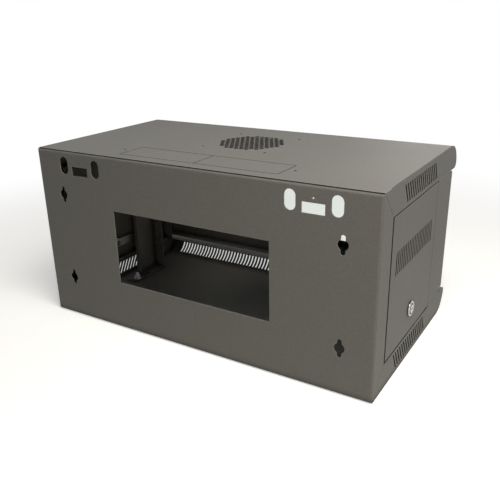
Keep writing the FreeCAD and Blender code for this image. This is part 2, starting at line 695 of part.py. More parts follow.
def make_front_post():
    """The left post: its outer face carries on the strips, its front flange stands in a rebate."""
    body = new_body("left_front_post")
    rear, front = POST_REAR, POST_FRONT
    rebate = f"({front} + post_rebate)"
    inner = f"-({SIDE} - sheet)"
    edge = f"-({SIDE} - post_flange)"
    landing = f"-({SIDE} - post_landing)"
    section = [
        (f"-{SIDE}", front), (inner, front), (inner, rebate), (edge, rebate),
        (edge, f"{rebate} + sheet"), (inner, f"{rebate} + sheet"), (inner, f"{rear} - sheet"),
        (landing, f"{rear} - sheet"), (landing, rear), (f"-{SIDE}", rear),
    ]
    extruded(body, "XY", [section], "strip_height + touch_gap", STRIP_TOP)
    # A foot folded inwards lies on the floor cover's landing flange.
    foot = rectangle(inner, f"-({SIDE} - landing_width)", f"{rebate} + sheet", f"{rear} - sheet")
    extruded(body, "XY", [foot], "strip_height + touch_gap", "strip_height + touch_gap + sheet")
    kept(body)
    return mirrored(body, "right_front_post")


# ---------------------------------------------------------------- side panels

def make_side_panel():
    """The left side panel: a shallow tray that hangs on two hooks and locks at its foot."""
    body = new_body("left_side_panel")
    outer, inner = f"-{SIDE}", f"-({SIDE} - sheet)"
    rim = f"-({SIDE} - panel_flange)"
    tray = rectangle(PANEL_FRONT, PANEL_REAR, PANEL_LOW, PANEL_HIGH)
    extruded(body, "YZ", [tray], outer, rim)
    hollow = rectangle(
        f"{PANEL_FRONT} + sheet", f"{PANEL_REAR} - sheet", f"{PANEL_LOW} + sheet", f"{PANEL_HIGH} - sheet")
    pocketed(body, "YZ", [hollow], inner, rim)
    row = f"{SIDE_LOCK_Y} - panel_vent_pitch * (panel_vent_count - 1) / 2"
    wide, tall = "panel_vent_width / 2", "panel_vent_height / 2"
    slot = rectangle(
        f"{row} - {wide}", f"{row} + {wide}", f"panel_vent_middle - {tall}", f"panel_vent_middle + {tall}")
    pocket = pocketed(body, "YZ", [slot], outer, inner)
    repeated(body, pocket, "H", "panel_vent_pitch", "panel_vent_count")
    barrel_hole = (SIDE_LOCK_Y, "side_lock_height", "lock_barrel_radius + fit_clearance")
    pocketed(body, "YZ", [barrel_hole], outer, inner)
    behind = f"-({SIDE} - sheet - touch_gap)"
    for end in ("-", "+"):
        y = f"{SIDE_LOCK_Y} {end} hook_spacing / 2"
        tongue = rectangle(
            f"{y} - hook_width / 2", f"{y} + hook_width / 2",
            f"{PANEL_HIGH} - sheet", f"{PANEL_HIGH} + hook_height")
        extruded(body, "YZ", [tongue], behind, f"{behind} + sheet")
    kept(body)
    return mirrored(body, "right_side_panel")


# ---------------------------------------------------------------- cam locks

def make_lock(prefix, x, y, z, axis, barrel, cam_length):
    """A round cam lock. Its own +Z axis points out of the panel; z = 0 is the panel's outer face."""
    bore = "lock_plug_radius + lock_clearance"
    shell = turned(f"{prefix}_lock_body", [
        (bore, f"-({barrel})"), ("lock_barrel_radius", f"-({barrel})"), ("lock_barrel_radius", "0"),
        ("lock_flange_radius", "0"), ("lock_flange_radius", "lock_flange_height * 0.6"),
        ("lock_flange_radius - lock_flange_height * 0.4", "lock_flange_height"),
        (bore, "lock_flange_height"),
    ])
    placed(shell, x, y, z, axis)
    kept(shell)
    nut = new_body(f"{prefix}_lock_nut")
    thread = ("0", "0", "lock_barrel_radius + fit_clearance")
    extruded(nut, "XY", [hexagon("lock_nut_flats"), thread], "-sheet - lock_nut_height", "-sheet")
    placed(nut, x, y, z, axis)
    kept(nut)
    cam_low = f"-({barrel}) - lock_clearance - lock_cam_sheet"
    plug = turned(f"{prefix}_lock_plug", [
        ("0", f"{cam_low} - lock_screw_height"), ("lock_screw_radius", f"{cam_low} - lock_screw_height"),
        ("lock_screw_radius", cam_low), ("lock_stem_radius", cam_low),
        ("lock_stem_radius", f"{cam_low} + lock_cam_sheet"),
        ("lock_plug_radius", f"{cam_low} + lock_cam_sheet"),
        ("lock_plug_radius", "lock_flange_height"), ("0", "lock_flange_height"),
    ])
    keyway = rectangle("-keyway_width / 2", "keyway_width / 2", "-keyway_height / 2", "keyway_height / 2")
    pocketed(plug, "XY", [keyway], "lock_flange_height - keyway_depth", "lock_flange_height")
    placed(plug, x, y, z, axis)
    kept(plug)
    cam = new_body(f"{prefix}_lock_cam")
    half = "lock_cam_width / 2"
    shoulder = f"({half} / 2 - ({cam_length}))"
    arm = [
        (f"-{half}", "0", "0", "0", 1), (f"-{half}", shoulder), (f"-{half} / 2", f"-({cam_length})"),
        (f"{half} / 2", f"-({cam_length})"), (half, shoulder), (half, "0"),
    ]
    eye = ("0", "0", "lock_stem_radius + fit_clearance")
    extruded(cam, "XY", [arm, eye], cam_low, f"{cam_low} + lock_cam_sheet")
    placed(cam, x, y, z, axis)
    kept(cam)


# ---------------------------------------------------------------- door

def make_door():
    """The door's frame: a tray open to the rear, with a window, two pivot holes and a lock hole."""
    body = new_body("door_frame")
    edge = f"{DOOR_SIDE}"
    extruded(body, "XZ", [rectangle(f"-{edge}", edge, DOOR_LOW, DOOR_HIGH)], DOOR_FACE, DOOR_REAR)
    face = value(DOOR_FACE)
    rounded(body, "door_bend_radius", lambda line: all(abs(v.Y - face) < 1e-6 for v in line.Vertexes))
    hollow = rectangle(
        f"-{edge} + sheet", f"{edge} - sheet", f"{DOOR_LOW} + sheet", f"{DOOR_HIGH} - sheet")
    pocketed(body, "XZ", [hollow], f"{DOOR_FACE} + sheet", DOOR_REAR)
    window = rectangle(
        f"-{edge} + door_stile", f"{edge} - door_stile",
        f"{DOOR_LOW} + door_sill", f"{DOOR_HIGH} - door_head")
    lock = (f"{SIDE} - door_lock_inset", DOOR_LOCK_Z, "lock_barrel_radius + fit_clearance")
    pocketed(body, "XZ", [window, lock], f"{DOOR_FACE}", f"{DOOR_FACE} + sheet")
    pivot = (HINGE_X, HINGE_Y, "hinge_pin_radius + hinge_clearance")
    pocketed(body, "XY", [pivot], DOOR_LOW, f"{DOOR_LOW} + sheet")
    pocketed(body, "XY", [pivot], f"{DOOR_HIGH} - sheet", DOOR_HIGH)
    return kept(body)


def make_window():
    """The pane, the rubber seal that it is pressed against, and the clips that hold it."""
    glass = new_body("door_glass")
    pane = rectangle(f"-{PANE_SIDE}", PANE_SIDE, PANE_LOW, PANE_HIGH)
    extruded(glass, "XZ", [pane], GLASS_FRONT, GLASS_REAR)
    kept(glass)
    seal = new_body("door_seal")
    hole = rectangle(
        f"-{PANE_SIDE} + seal_width", f"{PANE_SIDE} - seal_width",
        f"{PANE_LOW} + seal_width", f"{PANE_HIGH} - seal_width")
    extruded(seal, "XZ", [pane, hole], SEAL_FRONT, GLASS_FRONT)
    kept(seal)
    for level, pane_edge, out in (("lower", PANE_LOW, "-1"), ("upper", PANE_HIGH, "1")):
        for side, sign in (("left", "-1"), ("right", "1")):
            clip = new_body(f"{level}_{side}_glass_clip")
            x = f"{sign} * clip_offset"
            step = f"{pane_edge} + {out} * touch_gap"
            section = [
                (SEAL_FRONT, f"{step}"), (SEAL_FRONT, f"{step} + {out} * clip_length / 2"),
                (f"{SEAL_FRONT} + clip_sheet", f"{step} + {out} * clip_length / 2"),
                (f"{SEAL_FRONT} + clip_sheet", f"{step} + {out} * clip_sheet"),
                (f"{GLASS_REAR} + clip_sheet", f"{step} + {out} * clip_sheet"),
                (f"{GLASS_REAR} + clip_sheet", f"{step} - {out} * clip_length / 2"),
                (GLASS_REAR, f"{step} - {out} * clip_length / 2"), (GLASS_REAR, f"{step}"),
            ]
            extruded(clip, "YZ", [section], f"{x} - clip_width / 2", f"{x} + clip_width / 2")
            kept(clip)


# ---------------------------------------------------------------- door hinge

def make_hinge():
    """A fixed pin below, and above it a sprung pin that is pulled down to lift the door off."""
    radius, collar = "hinge_pin_radius", "hinge_collar_radius"
    lower = turned("lower_hinge_pin", [
        ("0", "-sheet - hinge_collar_height"), (collar, "-sheet - hinge_collar_height"),
        (collar, "-sheet"), (radius, "-sheet"), (radius, "0"), (collar, "0"),
        (collar, "door_bottom_gap - touch_gap"), (radius, "door_bottom_gap - touch_gap"),
        (radius, "door_bottom_gap + sheet + hinge_reach"), ("0", "door_bottom_gap + sheet + hinge_reach"),
    ])
    placed(lower, HINGE_X, HINGE_Y, "strip_height")
    kept(lower)
    # Heights of the upper pin are measured from the top edge of the door.
    guide = "(sheet + hinge_collar_height + hinge_spring_length)"
    tail = f"{guide} + hinge_bracket_sheet + hinge_tail"
    upper = turned("upper_hinge_pin", [
        ("0", f"-({tail})"), (radius, f"-({tail})"), (radius, "-sheet - hinge_collar_height"),
        (collar, "-sheet - hinge_collar_height"), (collar, "-sheet"), (radius, "-sheet"),
        (radius, "door_top_gap + sheet + hinge_reach"), ("0", "door_top_gap + sheet + hinge_reach"),
    ])
    half = "hinge_grip_width / 2"
    grip = rectangle(f"-{half}", "hinge_grip_reach", f"-{half}", half)
    extruded(upper, "XY", [grip], f"-({tail})", f"-({tail}) + hinge_grip_width")
    placed(upper, HINGE_X, HINGE_Y, DOOR_HIGH)
    kept(upper)
    bracket = new_body("hinge_guide_bracket")
    z = f"{DOOR_HIGH} - {guide}"
    inside = f"-{DOOR_SIDE} + sheet"
    section = [
        (f"{DOOR_FACE} + sheet", f"{z} - hinge_spring_length"), (f"{DOOR_FACE} + sheet", z),
        (f"{DOOR_REAR} - sheet", z), (f"{DOOR_REAR} - sheet", f"{z} - hinge_bracket_sheet"),
        (f"{DOOR_FACE} + sheet + hinge_bracket_sheet", f"{z} - hinge_bracket_sheet"),
        (f"{DOOR_FACE} + sheet + hinge_bracket_sheet", f"{z} - hinge_spring_length"),
    ]
    extruded(bracket, "YZ", [section], inside, f"{inside} + 3 * hinge_collar_radius")
    pocketed(bracket, "XY", [(HINGE_X, HINGE_Y, f"{radius} + hinge_clearance")],
             f"{z} - hinge_bracket_sheet", z)
    kept(bracket)
    # The spring: square wire bent in short straight runs round the pin, bracket to collar.
    wire = value("hinge_spring_wire")
    coil_radius = value("hinge_collar_radius") - wire
    length = value("hinge_spring_length - 2 * touch_gap") - 2 * wire
    runs = 12 * int(value("hinge_spring_turns"))
    path = Part.makePolygon([
        FreeCAD.Vector(
            coil_radius * math.cos(math.pi * run / 6), coil_radius * math.sin(math.pi * run / 6),
            length * run / runs)
        for run in range(runs + 1)
    ])
    section = Part.makePolygon([
        FreeCAD.Vector(coil_radius + x * wire, 0, z * wire)
        for x, z in ((-1, -1), (1, -1), (1, 1), (-1, 1), (-1, -1))
    ])
    right_corners = 1
    coil = path.makePipeShell([section], True, False, right_corners)
    spring = doc.addObject("Part::Feature", "upper_hinge_spring")
    spring.Label = "upper_hinge_spring"
    spring.Shape = coil
    spring.Placement = FreeCAD.Placement(
        FreeCAD.Vector(value(HINGE_X), value(HINGE_Y), value(f"{z} + touch_gap + hinge_spring_wire")),
        FreeCAD.Rotation())
    kept(spring)


# ---------------------------------------------------------------- 19-inch rails

def make_rail():
    """The left rail: a folded upright with square holes and two slotted feet."""
    body = new_body("left_rack_rail")
    face = f"{FRONT} + rail_setback"
    edge = "-rail_opening / 2"
    web = f"{edge} - rail_face"
    section = [
        (edge, face), (web, face), (web, f"{face} + rail_web"), (f"{web} + rail_lip", f"{face} + rail_web"),
        (f"{web} + rail_lip", f"{face} + rail_web - rail_sheet"),
        (f"{web} + rail_sheet", f"{face} + rail_web - rail_sheet"),
        (f"{web} + rail_sheet", f"{face} + rail_sheet"), (edge, f"{face} + rail_sheet"),
    ]
    low, high = "sheet + touch_gap", "case_height - sheet - touch_gap"
    extruded(body, "XY", [section], low, high)
    stud = f"{FRONT} + stud_setback"
    slot_half = "(stud_radius + stud_clearance)"
    slot = [
        (f"{STUD_X} + {slot_half}", f"{stud} - rail_travel"),
        (f"{STUD_X} + {slot_half}", stud),
        (f"{STUD_X} - {slot_half}", stud, STUD_X, stud, 1),
        (f"{STUD_X} - {slot_half}", f"{stud} - rail_travel"),
    ]
    slot[0] = slot[0] + (STUD_X, f"{stud} - rail_travel", 1)
    foot = rectangle(web, edge, face, f"{face} + rail_foot")
    for bottom, top in ((low, f"{low} + rail_sheet"), (f"{high} - rail_sheet", high)):
        extruded(body, "XY", [foot], bottom, top)
        pocketed(body, "XY", [slot], bottom, top)
    # Three square holes in each rack unit, the units centred on the case's height.
    middle = "-rail_hole_spacing / 2"
    half = "rail_hole / 2"
    base = "case_height / 2 - rack_units * rack_unit / 2 + rack_unit / 2"
    for step in ("-1", "0", "1"):
        z = f"{base} + {step} * rack_hole_step"
        hole = rectangle(f"{middle} - {half}", f"{middle} + {half}", f"{z} - {half}", f"{z} + {half}")
        pocket = pocketed(body, "XZ", [hole], face, f"{face} + rail_sheet")
        repeated(body, pocket, "V", "rack_unit", "rack_units")
    kept(body)
    return mirrored(body, "right_rack_rail")


def make_fixings():
    """The studs and nuts that hold the rails, and the earth stud with its washer and nut."""
    foot = "touch_gap + rail_sheet + touch_gap"
    for level, z, up in (("lower", "sheet", 1), ("upper", "case_height - sheet", -1)):
        for side, sign in (("left", "1"), ("right", "-1")):
            x, y = f"{sign} * {STUD_X}", f"{FRONT} + stud_setback"
            stud = turned(f"{level}_{side}_rail_stud", [
                ("0", "0"), ("stud_radius", "0"), ("stud_radius", "stud_height"), ("0", "stud_height")])
            placed(stud, x, y, z, (0, 0, up))
            kept(stud)
            nut = new_body(f"{level}_{side}_rail_nut")
            extruded(nut, "XY", [("0", "0", "nut_flange_radius")], foot, f"{foot} + nut_flange_height")
            extruded(nut, "XY", [hexagon("nut_flats")], foot, f"{foot} + nut_height")
            bore = ("0", "0", "stud_radius + fit_clearance")
            pocketed(nut, "XY", [bore], foot, f"{foot} + nut_height")
            placed(nut, x, y, z, (0, 0, up))
            kept(nut)
    x, y = "earth_offset", f"{BACK} - earth_setback"
    earth = turned("earth_stud", [
        ("0", "0"), ("stud_radius", "0"), ("stud_radius", "stud_height"), ("0", "stud_height")])
    placed(earth, x, y, "sheet")
    kept(earth)
    bore = "stud_radius + fit_clearance"
    washer = turned("earth_washer", [
        (bore, "0"), ("earth_washer_radius", "0"),
        ("earth_washer_radius", "earth_washer_height"), (bore, "earth_washer_height")])
    placed(washer, x, y, "sheet")
    kept(washer)
    nut = new_body("earth_nut")
    extruded(nut, "XY", [hexagon("nut_flats"), ("0", "0", bore)],
             "earth_washer_height", "earth_washer_height + nut_height")
    placed(nut, x, y, "sheet")
    kept(nut)


# ---------------------------------------------------------------- the cabinet

make_back_panel()
make_top_panel()
kept(make_cover("bottom_panel", lambda depth: f"{depth}", -1))
make_front_post()
make_side_panel()
make_door()
make_window()
make_hinge()
make_rail()
make_fixings()
# A side panel's cam closes behind its landing flange, the door's behind the right post's front flange.
barrel = "landing_width + lock_cam_gap"
cam_length = "side_lock_height - strip_height + side_cam_overlap"
make_lock("left_panel", f"-{SIDE}", SIDE_LOCK_Y, "side_lock_height", (-1, 0, 0), barrel, cam_length)
make_lock("right_panel", SIDE, SIDE_LOCK_Y, "side_lock_height", (1, 0, 0), barrel, cam_length)
barrel = "door_depth + door_rear_gap + post_rebate + sheet + lock_cam_gap"
cam_length = "door_lock_inset - post_flange + door_cam_overlap"
make_lock("door", f"{SIDE} - door_lock_inset", DOOR_FACE, DOOR_LOCK_Z, (0, -1, 0), barrel, cam_length)

doc.recompute()
for item in doc.Objects:
    if "Invalid" in item.State or "Error" in item.State:
        raise RuntimeError(f"{item.Label} did not compute: {item.State}")
for node in NODES:
    if node.Shape.isNull() or not node.Shape.isValid():
        raise RuntimeError(f"{node.Label} has no valid shape")
for node in NODES:
    node.Shape.exportStep(f"parts/{node.Label}.step")
print(len(NODES), "sub-parts written")
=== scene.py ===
# %% [markdown]
# # A wall mount network cabinet
#
# The real object is a small steel case for network equipment: a folded back panel, a roof and a
# floor with rounded, vented noses, two lift-off sides and a door with a glass window. All of it is
# painted in one fine-textured dark grey powder coat.
#
# The solids come ready from the CAD model. What is left to do here is what a camera sees: paint,
# metal, rubber and glass, the softness of a folded edge, threads, and the light.

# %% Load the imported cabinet
import json
import math

import bmesh
import bpy
import numpy as np
from mathutils import Matrix, Vector


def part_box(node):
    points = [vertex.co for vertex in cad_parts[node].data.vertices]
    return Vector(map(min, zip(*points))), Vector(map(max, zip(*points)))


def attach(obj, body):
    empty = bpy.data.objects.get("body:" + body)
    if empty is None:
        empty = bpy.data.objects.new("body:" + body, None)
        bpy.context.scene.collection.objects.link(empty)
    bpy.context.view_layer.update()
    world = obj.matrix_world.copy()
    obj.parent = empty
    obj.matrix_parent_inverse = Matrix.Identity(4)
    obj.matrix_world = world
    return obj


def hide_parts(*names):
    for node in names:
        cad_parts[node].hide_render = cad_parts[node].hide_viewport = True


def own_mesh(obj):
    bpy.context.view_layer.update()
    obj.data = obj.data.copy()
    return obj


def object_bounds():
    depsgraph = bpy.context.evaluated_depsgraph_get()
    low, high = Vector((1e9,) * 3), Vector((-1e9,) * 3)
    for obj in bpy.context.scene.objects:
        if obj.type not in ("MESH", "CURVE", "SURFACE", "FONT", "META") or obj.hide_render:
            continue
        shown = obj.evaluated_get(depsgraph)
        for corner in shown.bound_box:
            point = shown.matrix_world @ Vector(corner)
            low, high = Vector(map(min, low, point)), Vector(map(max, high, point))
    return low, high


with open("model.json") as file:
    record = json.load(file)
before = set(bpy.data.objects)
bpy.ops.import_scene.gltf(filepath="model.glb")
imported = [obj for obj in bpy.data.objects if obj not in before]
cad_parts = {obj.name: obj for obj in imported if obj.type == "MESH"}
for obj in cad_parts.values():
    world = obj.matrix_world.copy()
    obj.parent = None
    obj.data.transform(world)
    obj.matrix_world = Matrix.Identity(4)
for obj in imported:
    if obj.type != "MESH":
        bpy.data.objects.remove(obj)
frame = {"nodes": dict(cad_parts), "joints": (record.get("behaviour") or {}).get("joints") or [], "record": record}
nodes = frame["nodes"]
cad_low, cad_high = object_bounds()
MM = 0.001
print("nodes:", len(nodes), "case size in mm:", [round((b - a) / MM) for a, b in zip(cad_low, cad_high)])

# %% [markdown]
# ## Two helpers for new meshes
#
# A shape that is a function of two parameters gives a grid of points. Neighbours in the grid make
# the quads, so all faces come out of one array of index sums, with no loop over the vertices.
# Modifiers could turn or screw a curve too, but a formula can also change the radius with the angle.

# %% A grid of points becomes a mesh
SAME_PLACE = 1e-7


def grid_mesh(name, points, around=False, flip=False):
    """A mesh from points[i, j]. With `around`, the last column joins the first.

    Quad (i, j) has the corners (i, j), (i, j+1), (i+1, j+1), (i+1, j). Points that fall together,
    as at a pole or where a profile meets its own start, are merged, so the surface is closed.
    """
    rows, columns = points.shape[:2]
    i, j = np.meshgrid(np.arange(rows - 1), np.arange(columns if around else columns - 1), indexing="ij")
    right = (j + 1) % columns
    here, below = i * columns, (i + 1) * columns
    quads = np.stack([here + j, here + right, below + right, below + j], -1).reshape(-1, 4)
    if flip:
        quads = quads[:, ::-1]
    mesh = bpy.data.meshes.new(name)
    mesh.from_pydata(points.reshape(-1, 3).tolist(), [], quads.tolist())
    welded = bmesh.new()
    welded.from_mesh(mesh)
    bmesh.ops.remove_doubles(welded, verts=welded.verts, dist=SAME_PLACE)
    welded.to_mesh(mesh)
    welded.free()
    mesh.validate()
    return mesh


# %% [markdown]
# Most small metal pieces are round. A profile of (radius, height) pairs, turned about an axis,
# gives them. Its corners are rounded first, because no turned or pressed edge is sharp.

# %% Rounded corners of a profile
def soft_corners(profile, reach, steps=4):
    """Each inner corner B of A-B-C becomes a quadratic curve from B + r(A-B)/|A-B| to B + r(C-B)/|C-B|.

    P(t) = (1-t)^2 start + 2 t (1-t) B + t^2 end, with r no more than 0.45 of either side.
    """
    corners = np.asarray(profile, float)
    before = corners[:-2] - corners[1:-1]
    after = corners[2:] - corners[1:-1]
    long_before = np.linalg.norm(before, axis=1, keepdims=True)
    long_after = np.linalg.norm(after, axis=1, keepdims=True)
    start = corners[1:-1] + before / long_before * np.minimum(reach, 0.45 * long_before)
    end = corners[1:-1] + after / long_after * np.minimum(reach, 0.45 * long_after)
    t = np.linspace(0, 1, steps + 1)[None, :, None]
    curve = (1 - t) ** 2 * start[:, None] + 2 * t * (1 - t) * corners[1:-1][:, None] + t ** 2 * end[:, None]
    return np.concatenate([corners[:1], curve.reshape(-1, 2), corners[-1:]])


print("one corner becomes", len(soft_corners([[0, 0], [1, 0], [1, 1]], 0.2)) - 2, "points")


# %% A profile turned about an axis
def first_side(axis):
    """A unit vector across the axis: upright for a level axis, along X for an upright one."""
    return np.array([0.0, 0.0, 1.0]) if abs(axis[2]) < 0.9 else np.array([1.0, 0.0, 0.0])


def turned_mesh(name, profile, place, axis, columns=64, turn_in=None):
    """A surface of revolution: P(i, a) = place + r(i, a) (cos a u + sin a v) + h(i) axis, in mm.

    `turn_in(r, h, a)` may change the radius with the angle, which is how threads and flats are
    cut. The profile runs so that the outside lies on its right.
    """
    axis = np.asarray(axis, float)
    u = first_side(axis)
    v = np.cross(axis, u)
    profile = np.asarray(profile, float)
    angle = np.linspace(0, 2 * np.pi, columns, endpoint=False)[None, :]
    radius, height = profile[:, :1] + 0 * angle, profile[:, 1:] + 0 * angle
    if turn_in is not None:
        radius = turn_in(radius, height, angle)
    spoke = np.cos(angle)[..., None] * u + np.sin(angle)[..., None] * v
    points = np.asarray(place, float) + radius[..., None] * spoke + height[..., None] * axis
    return grid_mesh(name, points * MM, around=True)


# %% [markdown]
# ## Surfaces: helpers for nodes
#
# A material is a graph of nodes. Three short helpers keep the graphs readable: one makes a node and
# fills its inputs with numbers or links, one does arithmetic, and one opens a node group.

# %% Node helpers
def add_node(tree, kind, **inputs):
    """A shader node. Each input, by name, gets a number, a colour or another node's socket."""
    node = tree.nodes.new(kind)
    for name, given in inputs.items():
        socket = node.inputs[name.replace("_", " ")]
        if isinstance(given, bpy.types.NodeSocket):
            tree.links.new(given, socket)
        else:
            socket.default_value = given
    return node


def add_math(tree, operation, *operands):
    """The result of a Math node: each operand is a socket or a number."""
    node = tree.nodes.new("ShaderNodeMath")
    node.operation = operation
    for socket, operand in zip(node.inputs, operands):
        if isinstance(operand, bpy.types.NodeSocket):
            tree.links.new(operand, socket)
        else:
            socket.default_value = operand
    return node.outputs[0]


def stretched(tree, value, low, high):
    """A number that is 0 where the value is `low` and 1 where it is `high`."""
    return add_node(tree, "ShaderNodeMapRange", Value=value, From_Min=low, From_Max=high).outputs["Result"]


def new_group(name, numbers, outputs):
    """A node group with a Vector input, named number inputs and named outputs."""
    tree = bpy.data.node_groups.new(name, "ShaderNodeTree")
    tree.interface.new_socket("Vector", in_out="INPUT", socket_type="NodeSocketVector")
    for label, start in numbers.items():
        tree.interface.new_socket(label, in_out="INPUT", socket_type="NodeSocketFloat").default_value = start
    for label in outputs:
        tree.interface.new_socket(label, in_out="OUTPUT", socket_type="NodeSocketFloat")
    return tree, tree.nodes.new("NodeGroupInput"), tree.nodes.new("NodeGroupOutput")


# %% [markdown]
# ## Two patterns that the materials share
#
# Powder is sprayed on dry and melted in an oven. It sets as a skin with a fine pebbled surface, so
# two things vary: the height, which breaks up every reflection, and a little of the colour, where
# small pits look darker. Metal and rubber have a fine grain of their own. So the pattern lives in a
# node group that puts out a mask and a height and leaves the shader to each material.

# %% Pebbled skin: fine grains over slow waves
def make_pebble_group():
    """Height = fine noise + 0.6 coarser noise; Mask = the coarser noise pushed to 0..1."""
    tree, given, out = new_group("pebbled_skin", {"Grain Scale": 900.0}, ("Mask", "Height"))
    place, scale = given.outputs["Vector"], given.outputs["Grain Scale"]
    wider = add_math(tree, "MULTIPLY", scale, 0.3)
    fine = add_node(tree, "ShaderNodeTexNoise", Vector=place, Scale=scale, Detail=2.0, Roughness=0.5)
    coarse = add_node(tree, "ShaderNodeTexNoise", Vector=place, Scale=wider, Detail=2.0, Roughness=0.55)
    waves = add_math(tree, "MULTIPLY", coarse.outputs["Fac"], 0.6)
    tree.links.new(add_math(tree, "ADD", waves, fine.outputs["Fac"]), out.inputs["Height"])
    tree.links.new(stretched(tree, coarse.outputs["Fac"], 0.32, 0.68), out.inputs["Mask"])
    return tree


pebbled_skin = make_pebble_group()


# %% Slow change: handling marks and dust that no eye reads as a pattern
def make_drift_group():
    """Mask = very coarse noise, for a colour and a gloss that are never quite even."""
    tree, given, out = new_group("slow_drift", {"Patch Scale": 7.0}, ("Mask",))
    noise = add_node(tree, "ShaderNodeTexNoise", Vector=given.outputs["Vector"],
                     Scale=given.outputs["Patch Scale"], Detail=4.0, Roughness=0.55)
    tree.links.new(noise.outputs["Fac"], out.inputs["Mask"])
    return tree


slow_drift = make_drift_group()
print("pattern groups:", pebbled_skin.name, slow_drift.name)

# %% [markdown]
# ## What every material needs
#
# Each material starts from one Principled shader. Masks then choose between two colours or two
# numbers, and a height goes through a Bump node to the shader's normal.
#
# A folded sheet has a soft edge, but the solids' edges are sharp. Bevelling the meshes would change
# them, so a Bevel node rounds only the normal that the light sees.

# %% Materials and masks
finishes = {}


def start_material(name):
    """An empty material with its Principled shader and the object's own coordinates."""
    material = bpy.data.materials.new(name)
    material.use_nodes = True
    tree = material.node_tree
    tree.nodes.clear()
    shader = tree.nodes.new("ShaderNodeBsdfPrincipled")
    add_node(tree, "ShaderNodeOutputMaterial", Surface=shader.outputs["BSDF"])
    place = tree.nodes.new("ShaderNodeTexCoord").outputs["Object"]
    return material, tree, shader, place


def place_group(tree, group, vector, **numbers):
    """A node group in a material, fed with coordinates and its own numbers."""
    node = tree.nodes.new("ShaderNodeGroup")
    node.node_tree = group
    tree.links.new(vector, node.inputs["Vector"])
    for label, number in numbers.items():
        node.inputs[label.replace("_", " ")].default_value = number
    return node


def colour_between(tree, mask, low, high):
    """A colour that runs from `low` to `high` with the mask. Each end is a colour or a socket."""
    mix = add_node(tree, "ShaderNodeMix", Factor=mask)
    mix.data_type = "RGBA"
    for socket, end in zip(mix.inputs[6:8], (low, high)):
        if isinstance(end, bpy.types.NodeSocket):
            tree.links.new(end, socket)
        else:
            socket.default_value = (*end, 1)
    return mix.outputs[2]


def number_between(tree, mask, low, high):
    """A number that runs from `low` to `high` with the mask."""
    return add_node(tree, "ShaderNodeMapRange", Value=mask, To_Min=low, To_Max=high).outputs["Result"]


# %% Bump over rounded edges
def rounded_normal(tree, radius, samples=6):
    """The surface's normal as if every edge were rounded to this radius."""
    bevel = add_node(tree, "ShaderNodeBevel", Radius=radius)
    bevel.samples = samples
    return bevel.outputs["Normal"]


def add_bump(tree, shader, height, strength, distance, edge=0.0):
    """Feed a height to the shader's normal, over edges rounded to the radius `edge`."""
    bump = add_node(tree, "ShaderNodeBump", Strength=strength, Distance=distance, Height=height)
    if edge:
        tree.links.new(rounded_normal(tree, edge), bump.inputs["Normal"])
    tree.links.new(bump.outputs["Normal"], shader.inputs["Normal"])


# %% [markdown]
# Painted shade and a painted highlight follow the shape. Two masks find the places: an Ambient
# Occlusion node counts how much of the surroundings is near, so it is low inside slots, and the
# rounded normal leans away from the flat one only along a fold.

# %% Narrow places and folds
CLOSED_IN, WIDE_OPEN = 0.45, 0.95
FLAT_SHEET, MID_FOLD = 0.98, 0.74


def narrow_places(tree, reach):
    """Near 0 in slots and seams narrower than `reach`, 1 on open surfaces."""
    around = add_node(tree, "ShaderNodeAmbientOcclusion", Distance=reach)
    around.samples = 6
    return stretched(tree, around.outputs["AO"], CLOSED_IN, WIDE_OPEN)


def fold_highlight_places(tree, radius):
    """0 on flat sheet, 1 on the middle of a fold: how far the rounded normal leans from the flat one."""
    lean = tree.nodes.new("ShaderNodeVectorMath")
    lean.operation = "DOT_PRODUCT"
    flat = tree.nodes.new("ShaderNodeNewGeometry").outputs["True Normal"]
    tree.links.new(rounded_normal(tree, radius), lean.inputs[0])
    tree.links.new(flat, lean.inputs[1])
    return stretched(tree, lean.outputs["Value"], FLAT_SHEET, MID_FOLD)


# %% [markdown]
# ## Powder coat
#
# The knock-outs are cut by a laser. The open cut is a dark slit, and a thin dark line of painted
# shade follows it. The solid has the cuts with their tabs; the mask adds the line. The distance to
# the outline of a box is a few minima and maxima of |x| and |y|.

# %% Thin lines of painted shade round the knock-outs
KNOCKOUT_LENGTH, KNOCKOUT_HALF_DEPTH, KNOCKOUT_MIDDLE = 0.127, 0.025, 0.107
LINE_REACH = 0.0009


# The mask paints shade along the open knock-out cuts.
def knockout_shade_lines(tree, place):
    """1 near the outline of two boxes side by side, in the frame's x and y, 0 elsewhere.

    d = min(max(| |y - middle| - half_depth |, |x| - length),
            max(min(|x|, | |x| - length |), |y - middle| - half_depth)).
    """
    split = add_node(tree, "ShaderNodeSeparateXYZ", Vector=place)
    x = add_math(tree, "ABSOLUTE", split.outputs["X"])
    y = add_math(tree, "ABSOLUTE", add_math(tree, "SUBTRACT", split.outputs["Y"], KNOCKOUT_MIDDLE))
    past_x = add_math(tree, "SUBTRACT", x, KNOCKOUT_LENGTH)
    past_y = add_math(tree, "SUBTRACT", y, KNOCKOUT_HALF_DEPTH)
    along = add_math(tree, "MAXIMUM", add_math(tree, "ABSOLUTE", past_y), past_x)
    end_or_middle = add_math(tree, "MINIMUM", x, add_math(tree, "ABSOLUTE", past_x))
    across = add_math(tree, "MAXIMUM", end_or_middle, past_y)
    return add_math(tree, "LESS_THAN", add_math(tree, "MINIMUM", along, across), LINE_REACH)


# %% [markdown]
# The walls of punched holes and slots stand square to the sheet and are painted nearly black, as
# painted shade. The walls in the flat roof and floor face sideways, and those in the upright strips
# and panels face along the strip, so the flat normal and the place tell them apart from the sheet.

# %% Painted shade on the walls of the holes and slots
UPRIGHT_SHEETS, FLAT_SHEETS, CUT_DEPTH = 0.2685, 0.25, 0.13
SQUARE_TO_SHEET = 0.5
